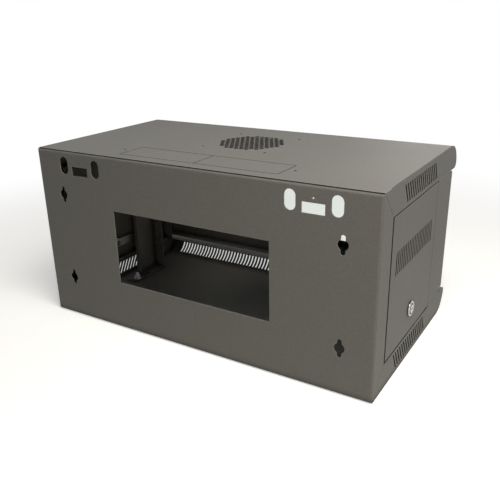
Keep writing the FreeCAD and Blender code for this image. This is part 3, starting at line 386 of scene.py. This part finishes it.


# The mask paints shade on the walls of holes and slots.
def shaded_cut_walls(tree, place):
    """1 where |normal z| < 1/2 in the flat sheets, or |normal x| < 1/2 in the upright ones."""
    split = add_node(tree, "ShaderNodeSeparateXYZ", Vector=place)
    flat = tree.nodes.new("ShaderNodeNewGeometry").outputs["True Normal"]
    faces = add_node(tree, "ShaderNodeSeparateXYZ", Vector=flat)
    x = add_math(tree, "ABSOLUTE", split.outputs["X"])
    walls = []
    for axis, here in (("Z", add_math(tree, "LESS_THAN", x, FLAT_SHEETS)),
                       ("X", add_math(tree, "GREATER_THAN", x, UPRIGHT_SHEETS))):
        lean = add_math(tree, "ABSOLUTE", faces.outputs[axis])
        square = add_math(tree, "LESS_THAN", lean, SQUARE_TO_SHEET)
        walls.append(add_math(tree, "MULTIPLY", square, here))
    inside = add_math(tree, "LESS_THAN", add_math(tree, "ABSOLUTE", split.outputs["Y"]), CUT_DEPTH)
    return add_math(tree, "MULTIPLY", add_math(tree, "MAXIMUM", *walls), inside)


# %% [markdown]
# The paint itself is a warm dark grey. Its colour steps a little between pits and grains. A painted
# highlight makes it paler on the folds, and painted shade makes it nearly black in narrow places.
# The gloss drifts slowly over the case. A low specular level keeps the flat roof from
# mirroring the white room at a low angle.

# %% Dark grey powder coat
PAINT_PITS = (0.109, 0.105, 0.097)
PAINT_GRAINS = (0.130, 0.125, 0.115)
# A paler grey on the folds: a painted highlight.
PAINT_FOLD_HIGHLIGHT = (0.245, 0.235, 0.215)
# Nearly black in slots, seams and cuts: painted shade.
PAINT_NARROW_SHADE = (0.012, 0.011, 0.010)
PAINT_GLOSS = (0.56, 0.66)
SLOT_REACH, FOLD_REACH, EDGE_RADIUS = 0.012, 0.0016, 0.0013


def make_powder_coat(name, with_cuts=False):
    """Dark grey with a pebbled skin, a painted highlight on folds and painted shade in narrow places; `with_cuts`
    also paints shade on the cuts.
    """
    material, tree, shader, place = start_material(name)
    shader.inputs["Specular IOR Level"].default_value = 0.3
    skin = place_group(tree, pebbled_skin, place, Grain_Scale=1500.0)
    colour = colour_between(tree, skin.outputs["Mask"], PAINT_PITS, PAINT_GRAINS)
    # Painted highlight: the folds turn paler.
    colour = colour_between(tree, fold_highlight_places(tree, FOLD_REACH), colour, PAINT_FOLD_HIGHLIGHT)
    # Painted shade: narrow places, and with `with_cuts` the cuts, turn nearly black.
    unshaded_places = narrow_places(tree, SLOT_REACH)
    if with_cuts:
        cuts = add_math(tree, "MAXIMUM", knockout_shade_lines(tree, place), shaded_cut_walls(tree, place))
        unshaded_places = add_math(tree, "SUBTRACT", unshaded_places, cuts)
    colour = colour_between(tree, unshaded_places, PAINT_NARROW_SHADE, colour)
    tree.links.new(colour, shader.inputs["Base Color"])
    drift = place_group(tree, slow_drift, place, Patch_Scale=6.0)
    tree.links.new(number_between(tree, drift.outputs["Mask"], *PAINT_GLOSS), shader.inputs["Roughness"])
    add_bump(tree, shader, skin.outputs["Height"], 0.14, 0.0003, edge=EDGE_RADIUS)
    return material


finishes["case_paint"] = make_powder_coat("dark_powder_coat")
cut_paint = make_powder_coat("powder_coat_with_cuts", with_cuts=True)
print("paint, linear grey:", [round((pit + grain) / 2, 3) for pit, grain in zip(PAINT_PITS, PAINT_GRAINS)])

# %% [markdown]
# ## Metal
#
# Hinge pins, clips, cams, studs and nuts are zinc-plated steel. Bright zinc is never an even mirror:
# its gloss and its grey drift over a few millimetres. The lock heads are chromed and more polished,
# with handling marks, and with painted shade in the groove round the plug.

# %% Shared body of a metal
def start_metal(name, patch_scale, dark, bright, gloss):
    """A metal whose colour and gloss drift together; also gives its colour, to be changed further."""
    material, tree, shader, place = start_material(name)
    shader.inputs["Metallic"].default_value = 1.0
    drift = place_group(tree, slow_drift, place, Patch_Scale=patch_scale)
    colour = colour_between(tree, drift.outputs["Mask"], dark, bright)
    tree.links.new(number_between(tree, drift.outputs["Mask"], *gloss), shader.inputs["Roughness"])
    return material, tree, shader, place, colour


# %% Zinc-plated steel
ZINC_DULL, ZINC_BRIGHT, ZINC_GLOSS = (0.50, 0.51, 0.52), (0.66, 0.66, 0.64), (0.24, 0.42)


def make_zinc():
    """Bright steel with a very fine grain and slightly soft edges."""
    material, tree, shader, place, colour = start_metal(
        "zinc_plated_steel", 60.0, ZINC_DULL, ZINC_BRIGHT, ZINC_GLOSS)
    tree.links.new(colour, shader.inputs["Base Color"])
    skin = place_group(tree, pebbled_skin, place, Grain_Scale=2500.0)
    add_bump(tree, shader, skin.outputs["Height"], 0.12, 0.0001, edge=0.0003)
    return material


finishes["zinc_steel"] = make_zinc()


# %% Chrome
CHROME_MARKS, CHROME_BRIGHT, CHROME_GLOSS = (0.20, 0.19, 0.18), (0.58, 0.56, 0.53), (0.12, 0.30)
GROOVE_SHADE, GROOVE_REACH = (0.02, 0.02, 0.02), 0.003


def make_chrome():
    """Bright chrome with handling marks in its colour and gloss, and painted shade in its grooves."""
    material, tree, shader, place, colour = start_metal(
        "lock_chrome", 180.0, CHROME_MARKS, CHROME_BRIGHT, CHROME_GLOSS)
    # Painted shade: the groove round the plug turns nearly black.
    groove_shade = colour_between(tree, narrow_places(tree, GROOVE_REACH), GROOVE_SHADE, colour)
    tree.links.new(groove_shade, shader.inputs["Base Color"])
    skin = place_group(tree, pebbled_skin, place, Grain_Scale=1200.0)
    add_bump(tree, shader, skin.outputs["Height"], 0.10, 0.0002)
    return material


finishes["lock_chrome"] = make_chrome()
print("metals:", finishes["zinc_steel"].name, finishes["lock_chrome"].name)

# %% [markdown]
# ## Rubber and glass
#
# The window is pressed on a black rubber seal. Rubber is matte and blooms a little: a pale film
# comes and goes on it. The pane is float glass, faintly green, and only its gloss varies, with a
# thin haze of dust. It keeps a plain transmission of 1, because mixing in another shader would make
# it cloudy.

# %% Rubber
RUBBER_BLACK, RUBBER_BLOOM, RUBBER_GLOSS = (0.012, 0.012, 0.012), (0.030, 0.030, 0.031), (0.68, 0.85)


def make_rubber():
    """Black seal rubber, matte, with a faint bloom."""
    material, tree, shader, place = start_material("seal_rubber")
    drift = place_group(tree, slow_drift, place, Patch_Scale=40.0)
    colour = colour_between(tree, drift.outputs["Mask"], RUBBER_BLACK, RUBBER_BLOOM)
    tree.links.new(colour, shader.inputs["Base Color"])
    tree.links.new(number_between(tree, drift.outputs["Mask"], *RUBBER_GLOSS), shader.inputs["Roughness"])
    skin = place_group(tree, pebbled_skin, place, Grain_Scale=1800.0)
    add_bump(tree, shader, skin.outputs["Height"], 0.2, 0.0002)
    return material


finishes["seal_rubber"] = make_rubber()


# %% Glass
GLASS_TINT, GLASS_IOR, GLASS_HAZE = (0.90, 0.96, 0.93, 1), 1.5, (0.0, 0.03)


def make_glass():
    """Clear float glass with a faint green body; a thin haze of dust dulls its gloss in patches."""
    material, tree, shader, place = start_material("clear_glass")
    shader.inputs["Transmission Weight"].default_value = 1.0
    shader.inputs["IOR"].default_value = GLASS_IOR
    shader.inputs["Base Color"].default_value = GLASS_TINT
    drift = place_group(tree, slow_drift, place, Patch_Scale=12.0)
    tree.links.new(number_between(tree, drift.outputs["Mask"], *GLASS_HAZE), shader.inputs["Roughness"])
    return material


finishes["clear_glass"] = make_glass()
print("finishes:", sorted(finishes))

# %% [markdown]
# The record names a material slot for each solid, so one loop dresses them all. Roof, floor and side
# panels get the paint that knows about their cuts.

# %% Every solid gets the finish of its slot
slot_of = {part["node"]: part["material_slot"] for part in frame["record"]["subparts"]}
CUT_SHEETS = ("top_panel", "bottom_panel", "left_side_panel", "right_side_panel")
for name, solid in nodes.items():
    finish = cut_paint if name in CUT_SHEETS else finishes[slot_of[name]]
    if solid.material_slots:
        for socket in solid.material_slots:
            socket.material = finish
    else:
        solid.data.materials.append(finish)
print("dressed:", {slot: list(slot_of.values()).count(slot) for slot in finishes})

# %% [markdown]
# ## Small metal pieces
#
# Screws, nuts and locks are small, but a sharp-cornered stand-in for them is seen at once. Each new
# piece takes its place and its size from the solid that it stands for, and rides on the same body.

# %% A new piece in place of a solid
bodies = frame["record"]["behaviour"]["bodies"]
body_of_node = {node: body for body, members in bodies.items() for node in members}


def stand_in(mesh, node, smooth_below=math.radians(38)):
    """An object for the mesh that replaces one solid, rides on its body and has its finish."""
    mesh.materials.append(finishes[slot_of[node]])
    piece = bpy.data.objects.new(mesh.name, mesh)
    bpy.context.scene.collection.objects.link(piece)
    mesh.polygons.foreach_set("use_smooth", [True] * len(mesh.polygons))
    mesh.set_sharp_from_angle(angle=smooth_below)
    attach(piece, body_of_node[node])
    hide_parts(node)
    return piece


def box_in_mm(node):
    """The low and the high corner of a solid's box, in mm."""
    return [np.array(corner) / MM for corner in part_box(node)]


print("bodies:", len(bodies))

# %% [markdown]
# A thread is a helix: the radius at height h and angle a depends only on h / pitch - a / 2 pi. A
# turned profile can carry it, if its rows lie closer together than the pitch. A screw modifier would
# leave the ends of the thread open; here the groove simply fades out before each end.

# %% Threads
RUN_OUT = 0.4


def threaded(crest, depth, pitch, low, high):
    """r(h, a) <= crest - depth * |2 frac(h / pitch - a / 2 pi) - 1|, between two heights."""
    def cut(radius, height, angle):
        turn = height / pitch - angle / (2 * np.pi)
        groove = depth * np.abs(2 * (turn - np.floor(turn)) - 1)
        ends = np.clip(np.minimum(height - low, high - height) / RUN_OUT, 0, 1)
        return np.minimum(radius, crest - groove * ends)
    return cut


# %% [markdown]
# A cam lock has a round head with a raised rim and a dark groove round its turning plug. Behind the
# sheet it is a threaded barrel that a nut draws tight. The shell is one closed profile: down the bore,
# up the barrel, out under the head, over the rim and back to the bore.

# %% Lock heads and barrels
LOCK_HEAD, LOCK_BARREL, LOCK_BORE = 10.5, 8.0, 6.1
HEAD_HEIGHT, GROOVE_FLOOR = 3.0, 1.4
BARREL_PITCH, BARREL_THREAD, FIRST_TURN = 1.5, 0.42, -1.6
BARREL_ROWS, BARREL_CHAMFER = 0.19, 0.3


def lock_profile(length):
    """(radius, height) of a lock's shell, with height 0 on the sheet and the barrel below it."""
    wall = np.linspace(-length + BARREL_CHAMFER, FIRST_TURN, int(length / BARREL_ROWS))
    bore = [[LOCK_BORE, GROOVE_FLOOR], [LOCK_BORE, -length]]
    foot = [[LOCK_BARREL - 0.5, -length], [LOCK_BARREL, -length + BARREL_CHAMFER]]
    barrel = np.stack([np.full_like(wall, LOCK_BARREL), wall], 1)[1:]
    neck = [[LOCK_BARREL, -0.02], [LOCK_HEAD, 0.0]]
    rim = [[LOCK_HEAD, 0.0], [LOCK_HEAD, 1.7], [9.5, HEAD_HEIGHT], [8.2, HEAD_HEIGHT], [7.5, 2.3],
           [7.5, GROOVE_FLOOR], [LOCK_BORE, GROOVE_FLOOR]]
    return np.concatenate([bore, foot, barrel, neck, soft_corners(rim, 0.5)[1:]])


def make_lock(prefix, outward):
    """The fixed shell of one lock. `outward` points away from the sheet that it sits in."""
    outward = np.asarray(outward, float)
    low, high = box_in_mm(f"{prefix}_lock_body")
    middle = (low + high) / 2
    sheet = max(low @ outward, high @ outward) - HEAD_HEIGHT
    length = abs((high - low) @ outward) - HEAD_HEIGHT
    place = middle + (sheet - middle @ outward) * outward
    thread = threaded(LOCK_BARREL, BARREL_THREAD, BARREL_PITCH, -length + BARREL_CHAMFER, FIRST_TURN)

    def on_barrel_only(radius, height, angle):
        on_barrel = (height < FIRST_TURN + 0.1) & (radius > LOCK_BARREL - 0.1)
        return np.where(on_barrel, thread(radius, height, angle), radius)

    mesh = turned_mesh(f"{prefix}_lock_shell", lock_profile(length), place, outward, 72, on_barrel_only)
    stand_in(mesh, f"{prefix}_lock_body")
    return length


LOCKS = {"door": (0, -1, 0), "left_panel": (-1, 0, 0), "right_panel": (1, 0, 0)}
for prefix, outward in LOCKS.items():
    print(prefix, "lock, barrel length in mm:", round(float(make_lock(prefix, outward)), 1))

# %% [markdown]
# A nut is a round blank with a cone turned on each face, cut by six flats. Where a flat meets the
# cone, the edge comes out as the shallow arc that real nuts have: r = min(cone, flat / cos(a - a_k)).
# The rail nuts also have a washer face, which stays round.

# %% Nuts
LOCK_NUT_FLATS = 20.0
M6_HOLE, M6_FLATS = 3.05, 10.0
RAIL_WASHER = (6.8, 1.2)


def six_flats(across, first_corner):
    """Limits a radius to a hexagon: r <= across / 2 / cos(angle from the middle of the nearest flat)."""
    def cut(radius, angle):
        from_flat = (angle - first_corner) % (np.pi / 3) - np.pi / 6
        return np.minimum(radius, across / 2 / np.cos(from_flat))
    return cut


def nut_profile(height, across, hole, washer):
    """(radius, height) of a nut, closed on itself; `washer` is (radius, thickness) of a face under it."""
    corner, crown, chamfer = across / 3 ** 0.5, 0.475 * across, 0.06 * across
    top = [[corner, height - chamfer], [crown, height], [hole + 0.35, height], [hole, height - 0.35]]
    foot = [[hole + 0.3, 0.0], [crown, 0.0], [corner, chamfer]]
    if washer:
        reach, thick = washer
        foot = [[hole, 0.0], [reach - 0.2, 0.0], [reach, 0.3], [reach, thick - 0.3], [reach - 0.5, thick],
                [corner, thick]]
    return np.array(foot + top + [[hole, 0.2], foot[0]])


def make_nut(node, outward, across, hole, washer=None):
    """A chamfered nut in the place of a solid; its flats lie as that solid's do."""
    outward = np.asarray(outward, float)
    low, high = box_in_mm(node)
    u = first_side(outward)
    wide, tall = abs((high - low) @ u), abs((high - low) @ np.cross(outward, u))
    height = abs((high - low) @ outward)
    first_corner = 0.0 if washer or wide > tall else np.pi / 6
    cut = six_flats(across, first_corner)
    above = washer[1] - 1e-6 if washer else -1e-6
    mesh = turned_mesh(f"{node}_turned", nut_profile(height, across, hole, washer),
                       (low + high) / 2 - outward * height / 2, outward, 72,
                       lambda radius, h, angle: np.where(h >= above, cut(radius, angle), radius))
    return stand_in(mesh, node)


UP, DOWN = (0, 0, 1), (0, 0, -1)
nuts = []
for prefix, outward in LOCKS.items():
    nuts.append(make_nut(f"{prefix}_lock_nut", outward, LOCK_NUT_FLATS, LOCK_BARREL + 0.05))
for side in ("left", "right"):
    nuts.append(make_nut(f"lower_{side}_rail_nut", UP, M6_FLATS, M6_HOLE, RAIL_WASHER))
    nuts.append(make_nut(f"upper_{side}_rail_nut", DOWN, M6_FLATS, M6_HOLE, RAIL_WASHER))
nuts.append(make_nut("earth_nut", UP, M6_FLATS, M6_HOLE))
print("nuts:", len(nuts))

# %% [markdown]
# Rails and earth lead are held on studs that are welded to the sheet. A stud is plain at its foot,
# has an M6 thread of 1 mm pitch above it, and a chamfered tip that guides the nut.

# %% Welded studs
STUD_RADIUS, STUD_TIP, TIP_CHAMFER, PLAIN_FOOT = 3.0, 2.45, 0.6, 0.8
M6_PITCH, M6_THREAD, M6_ROWS = 1.0, 0.32, 0.17


def make_stud(node, outward):
    """A threaded stud in the place of a solid, from its foot to its tip along `outward`."""
    outward = np.asarray(outward, float)
    low, high = box_in_mm(node)
    length = abs((high - low) @ outward)
    wall = np.linspace(0.0, length - TIP_CHAMFER, int(length / M6_ROWS))
    shank = np.stack([np.full_like(wall, STUD_RADIUS), wall], 1)
    profile = np.concatenate([[[0.0, 0.0]], shank, [[STUD_TIP, length], [0.0, length]]])
    thread = threaded(STUD_RADIUS, M6_THREAD, M6_PITCH, PLAIN_FOOT, length + 0.2)
    foot = (low + high) / 2 - outward * length / 2
    return stand_in(turned_mesh(f"{node}_threaded", profile, foot, outward, 36, thread), node)


studs = []
for side in ("left", "right"):
    studs.append(make_stud(f"lower_{side}_rail_stud", UP))
    studs.append(make_stud(f"upper_{side}_rail_stud", DOWN))
studs.append(make_stud("earth_stud", UP))
print("studs:", len(studs))

# %% [markdown]
# The spring behind the upper hinge pin is round wire on a helix. Its end turns lie close together,
# so that it stands square: the height grows by hardly more than the wire's thickness over them, and
# by an even pitch in between. The coil is built once, at its full length, and the pin's travel is
# read from its joint.

# %% Hinge spring
WIRE, TURNS, END_TURN = 0.4, 5.5, 0.75


def spring_points(centre, coil, bottom, top):
    """P(t, b) = helix(t) + wire (cos b radial + sin b upright), with close end turns and closed ends."""
    t = np.linspace(0, TURNS, 220)
    lift = 2 * WIRE * 1.02
    free = TURNS - 2 * END_TURN
    close_turns = lift * np.clip(t, 0, END_TURN) + lift * np.clip(t - TURNS + END_TURN, 0, END_TURN)
    open_turns = (top - bottom - 2 * END_TURN * lift) * np.clip(t - END_TURN, 0, free) / free
    radial = np.stack([np.cos(2 * np.pi * t), np.sin(2 * np.pi * t), 0 * t], -1)
    height = np.stack([0 * t, 0 * t, bottom + close_turns + open_turns], -1)
    line = np.array([centre[0], centre[1], 0.0]) + coil * radial + height
    b = np.linspace(0, 2 * np.pi, 12, endpoint=False)[None, :, None]
    ring = np.cos(b) * radial[:, None, :] + np.sin(b) * np.array([0.0, 0.0, 1.0])
    thickness = np.full(len(t), WIRE)
    thickness[[0, -1]] = 0.0
    return line[:, None, :] + thickness[:, None, None] * ring


def make_spring(node):
    """A coil in the place of a solid; gives back its length and the hinge pin's travel."""
    low, high = box_in_mm(node)
    centre = (low + high) / 2
    coil = min(high[0] - low[0], high[1] - low[1]) / 2 - WIRE
    points = spring_points(centre, coil, low[2] + WIRE, high[2] - WIRE)
    coil_mesh = grid_mesh("hinge_spring_coil", points * MM, around=True, flip=True)
    piece = stand_in(coil_mesh, node, math.radians(60))
    slide = next(joint for joint in frame["joints"] if joint["name"] == "hinge_pin_slide")
    travel = max(abs(limit) for limit in slide.get("range_m") or slide["range"])
    length = (high[2] - low[2]) * MM
    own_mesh(piece)
    return length, travel


spring_length, spring_travel = make_spring("upper_hinge_spring")
print("spring in mm: length", round(spring_length / MM, 1), "travel", round(spring_travel / MM, 1))

# %% [markdown]
# ## Floor and room
#
# A plain pale floor runs to the horizon. Near the case it is paint-like and holds a soft shadow;
# further off it fades into the same white as the room, so no horizon shows. The white is only for
# the rays that look at it: camera, mirror and glass. Light on the case comes from a dimmer room and
# from the lamps, so the white adds nothing to the paint.

# %% Rays that see the white
def sees_white(tree):
    """1 for camera, glossy and transmission rays, 0 for the others."""
    rays = tree.nodes.new("ShaderNodeLightPath")
    either = add_math(tree, "MAXIMUM", rays.outputs["Is Camera Ray"], rays.outputs["Is Glossy Ray"])
    return add_math(tree, "MAXIMUM", either, rays.outputs["Is Transmission Ray"])


# %% Floor
WHITE = (1, 1, 1, 1)
FLOOR_PAINT = (0.86, 0.86, 0.855, 1)
FLOOR_GLOW = 0.42
FADE_START, FADE_END = 0.45, 1.15
FLOOR_REACH, FLOOR_DROP = 12.0, 0.0005


def make_floor_finish():
    """Diffuse paint with a little glow near the case, and plain white far off."""
    material = bpy.data.materials.new("floor_white")
    material.use_nodes = True
    tree = material.node_tree
    tree.nodes.clear()
    seen = sees_white(tree)
    diffuse = add_node(tree, "ShaderNodeBsdfDiffuse", Color=FLOOR_PAINT)
    glow = add_node(tree, "ShaderNodeEmission", Color=WHITE,
                    Strength=add_math(tree, "MULTIPLY", seen, FLOOR_GLOW))
    near = tree.nodes.new("ShaderNodeAddShader")
    tree.links.new(diffuse.outputs[0], near.inputs[0])
    tree.links.new(glow.outputs[0], near.inputs[1])
    apart = tree.nodes.new("ShaderNodeVectorMath")
    apart.operation = "LENGTH"
    tree.links.new(tree.nodes.new("ShaderNodeTexCoord").outputs["Object"], apart.inputs[0])
    fade = add_node(tree, "ShaderNodeMapRange", Value=apart.outputs["Value"], From_Min=FADE_START,
                    From_Max=FADE_END)
    fade.interpolation_type = "SMOOTHSTEP"
    far = add_node(tree, "ShaderNodeEmission", Color=WHITE, Strength=1.0)
    white_here = add_math(tree, "MULTIPLY", fade.outputs["Result"], seen)
    blend = add_node(tree, "ShaderNodeMixShader", Fac=white_here)
    tree.links.new(near.outputs[0], blend.inputs[1])
    tree.links.new(far.outputs[0], blend.inputs[2])
    add_node(tree, "ShaderNodeOutputMaterial", Surface=blend.outputs[0])
    return material


def make_floor():
    """A large flat sheet just under the case: P(u, v) = (u, v, level)."""
    u, v = np.meshgrid([-FLOOR_REACH, FLOOR_REACH], [-FLOOR_REACH, FLOOR_REACH], indexing="ij")
    mesh = grid_mesh("floor", np.stack([u, v, np.full_like(u, cad_low.z - FLOOR_DROP)], -1), flip=True)
    mesh.materials.append(make_floor_finish())
    floor = bpy.data.objects.new("floor", mesh)
    bpy.context.scene.collection.objects.link(floor)


make_floor()
print("floor: fades to white from", FADE_START, "to", FADE_END, "m")

# %% World: a plain pale room
ROOM_LEVEL = 0.07


def make_room():
    """A dim warm room for the light, and plain white for the rays that look at it."""
    world = bpy.data.worlds.new("pale_room")
    bpy.context.scene.world = world
    world.use_nodes = True
    tree = world.node_tree
    tree.nodes.clear()
    room = add_node(tree, "ShaderNodeBackground", Color=(1.0, 0.98, 0.95, 1), Strength=ROOM_LEVEL)
    white = add_node(tree, "ShaderNodeBackground", Color=WHITE, Strength=1.0)
    choose = add_node(tree, "ShaderNodeMixShader", Fac=sees_white(tree))
    tree.links.new(room.outputs[0], choose.inputs[1])
    tree.links.new(white.outputs[0], choose.inputs[2])
    add_node(tree, "ShaderNodeOutputWorld", Surface=choose.outputs[0])


make_room()
print("room level:", ROOM_LEVEL)

# %% [markdown]
# ## Lamps
#
# Large soft lamps stand round the case, as in a studio: a strong one high behind it for the roof, a
# weak low one for the back and the side that face the camera, and a low one in front that shines
# through the window and the slots. Each lamp's level is the brightness of a white sheet that faces
# it, so the three levels can be compared and added.

# %% Lamps
def soft_lamp(name, azimuth, elevation, level, colour, size=1.3, away=2.6):
    """A square area lamp on a dome round the case, azimuth 0 in front of the door, 90 on its right.

    At level 1 a white sheet that faces it renders white: power = level pi^2 away^2.
    """
    turn, rise = math.radians(azimuth), math.radians(elevation)
    outward = Vector((math.cos(rise) * math.sin(turn), -math.cos(rise) * math.cos(turn), math.sin(rise)))
    lamp = bpy.data.lights.new(name, "AREA")
    lamp.size = size
    lamp.color = colour
    lamp.energy = level * (math.pi * away) ** 2
    holder = bpy.data.objects.new(name, lamp)
    holder.location = outward * away + Vector((0, 0, 0.13))
    holder.rotation_euler = (-outward).to_track_quat("-Z", "Y").to_euler()
    bpy.context.scene.collection.objects.link(holder)
    print(name, "level", level)


soft_lamp("high_behind", 230, 60, 0.96, (1.0, 0.97, 0.88), size=0.6, away=1.1)
soft_lamp("low_behind", 230, 10, 0.19, (1.0, 0.95, 0.82), size=0.6, away=1.1)
soft_lamp("low_front", 0, 12, 0.34, (1.0, 0.94, 0.90))

# %% [markdown]
# ## Camera
#
# The camera looks at the back from its corner and from a little above, with a fairly long lens, so
# that the roof, the back and one side all show. Its place is a point, and its direction is two unit
# vectors: one to the right of the view and one that points back from it. The third, upwards, is
# their cross product.

# %% Camera
CAMERA_PLACE = Vector((-0.48066, 0.76884, 0.44984))
CAMERA_RIGHT = Vector((-0.85363, -0.52057, -0.01816)).normalized()
CAMERA_BACK = Vector((-0.49122, 0.79293, 0.36051)).normalized()

camera_lens = bpy.data.cameras.new("camera")
camera_lens.lens = 44.455
camera_lens.sensor_width = 36.0
camera = bpy.data.objects.new("camera", camera_lens)
bpy.context.scene.collection.objects.link(camera)
turned = Matrix((CAMERA_RIGHT, CAMERA_BACK.cross(CAMERA_RIGHT), CAMERA_BACK)).transposed()
camera.matrix_world = Matrix.Translation(CAMERA_PLACE) @ turned.to_4x4()
bpy.context.scene.camera = camera
print("camera", round(CAMERA_PLACE.length, 2), "m from the case's middle")

bpy.context.scene.view_settings.view_transform = "Standard"
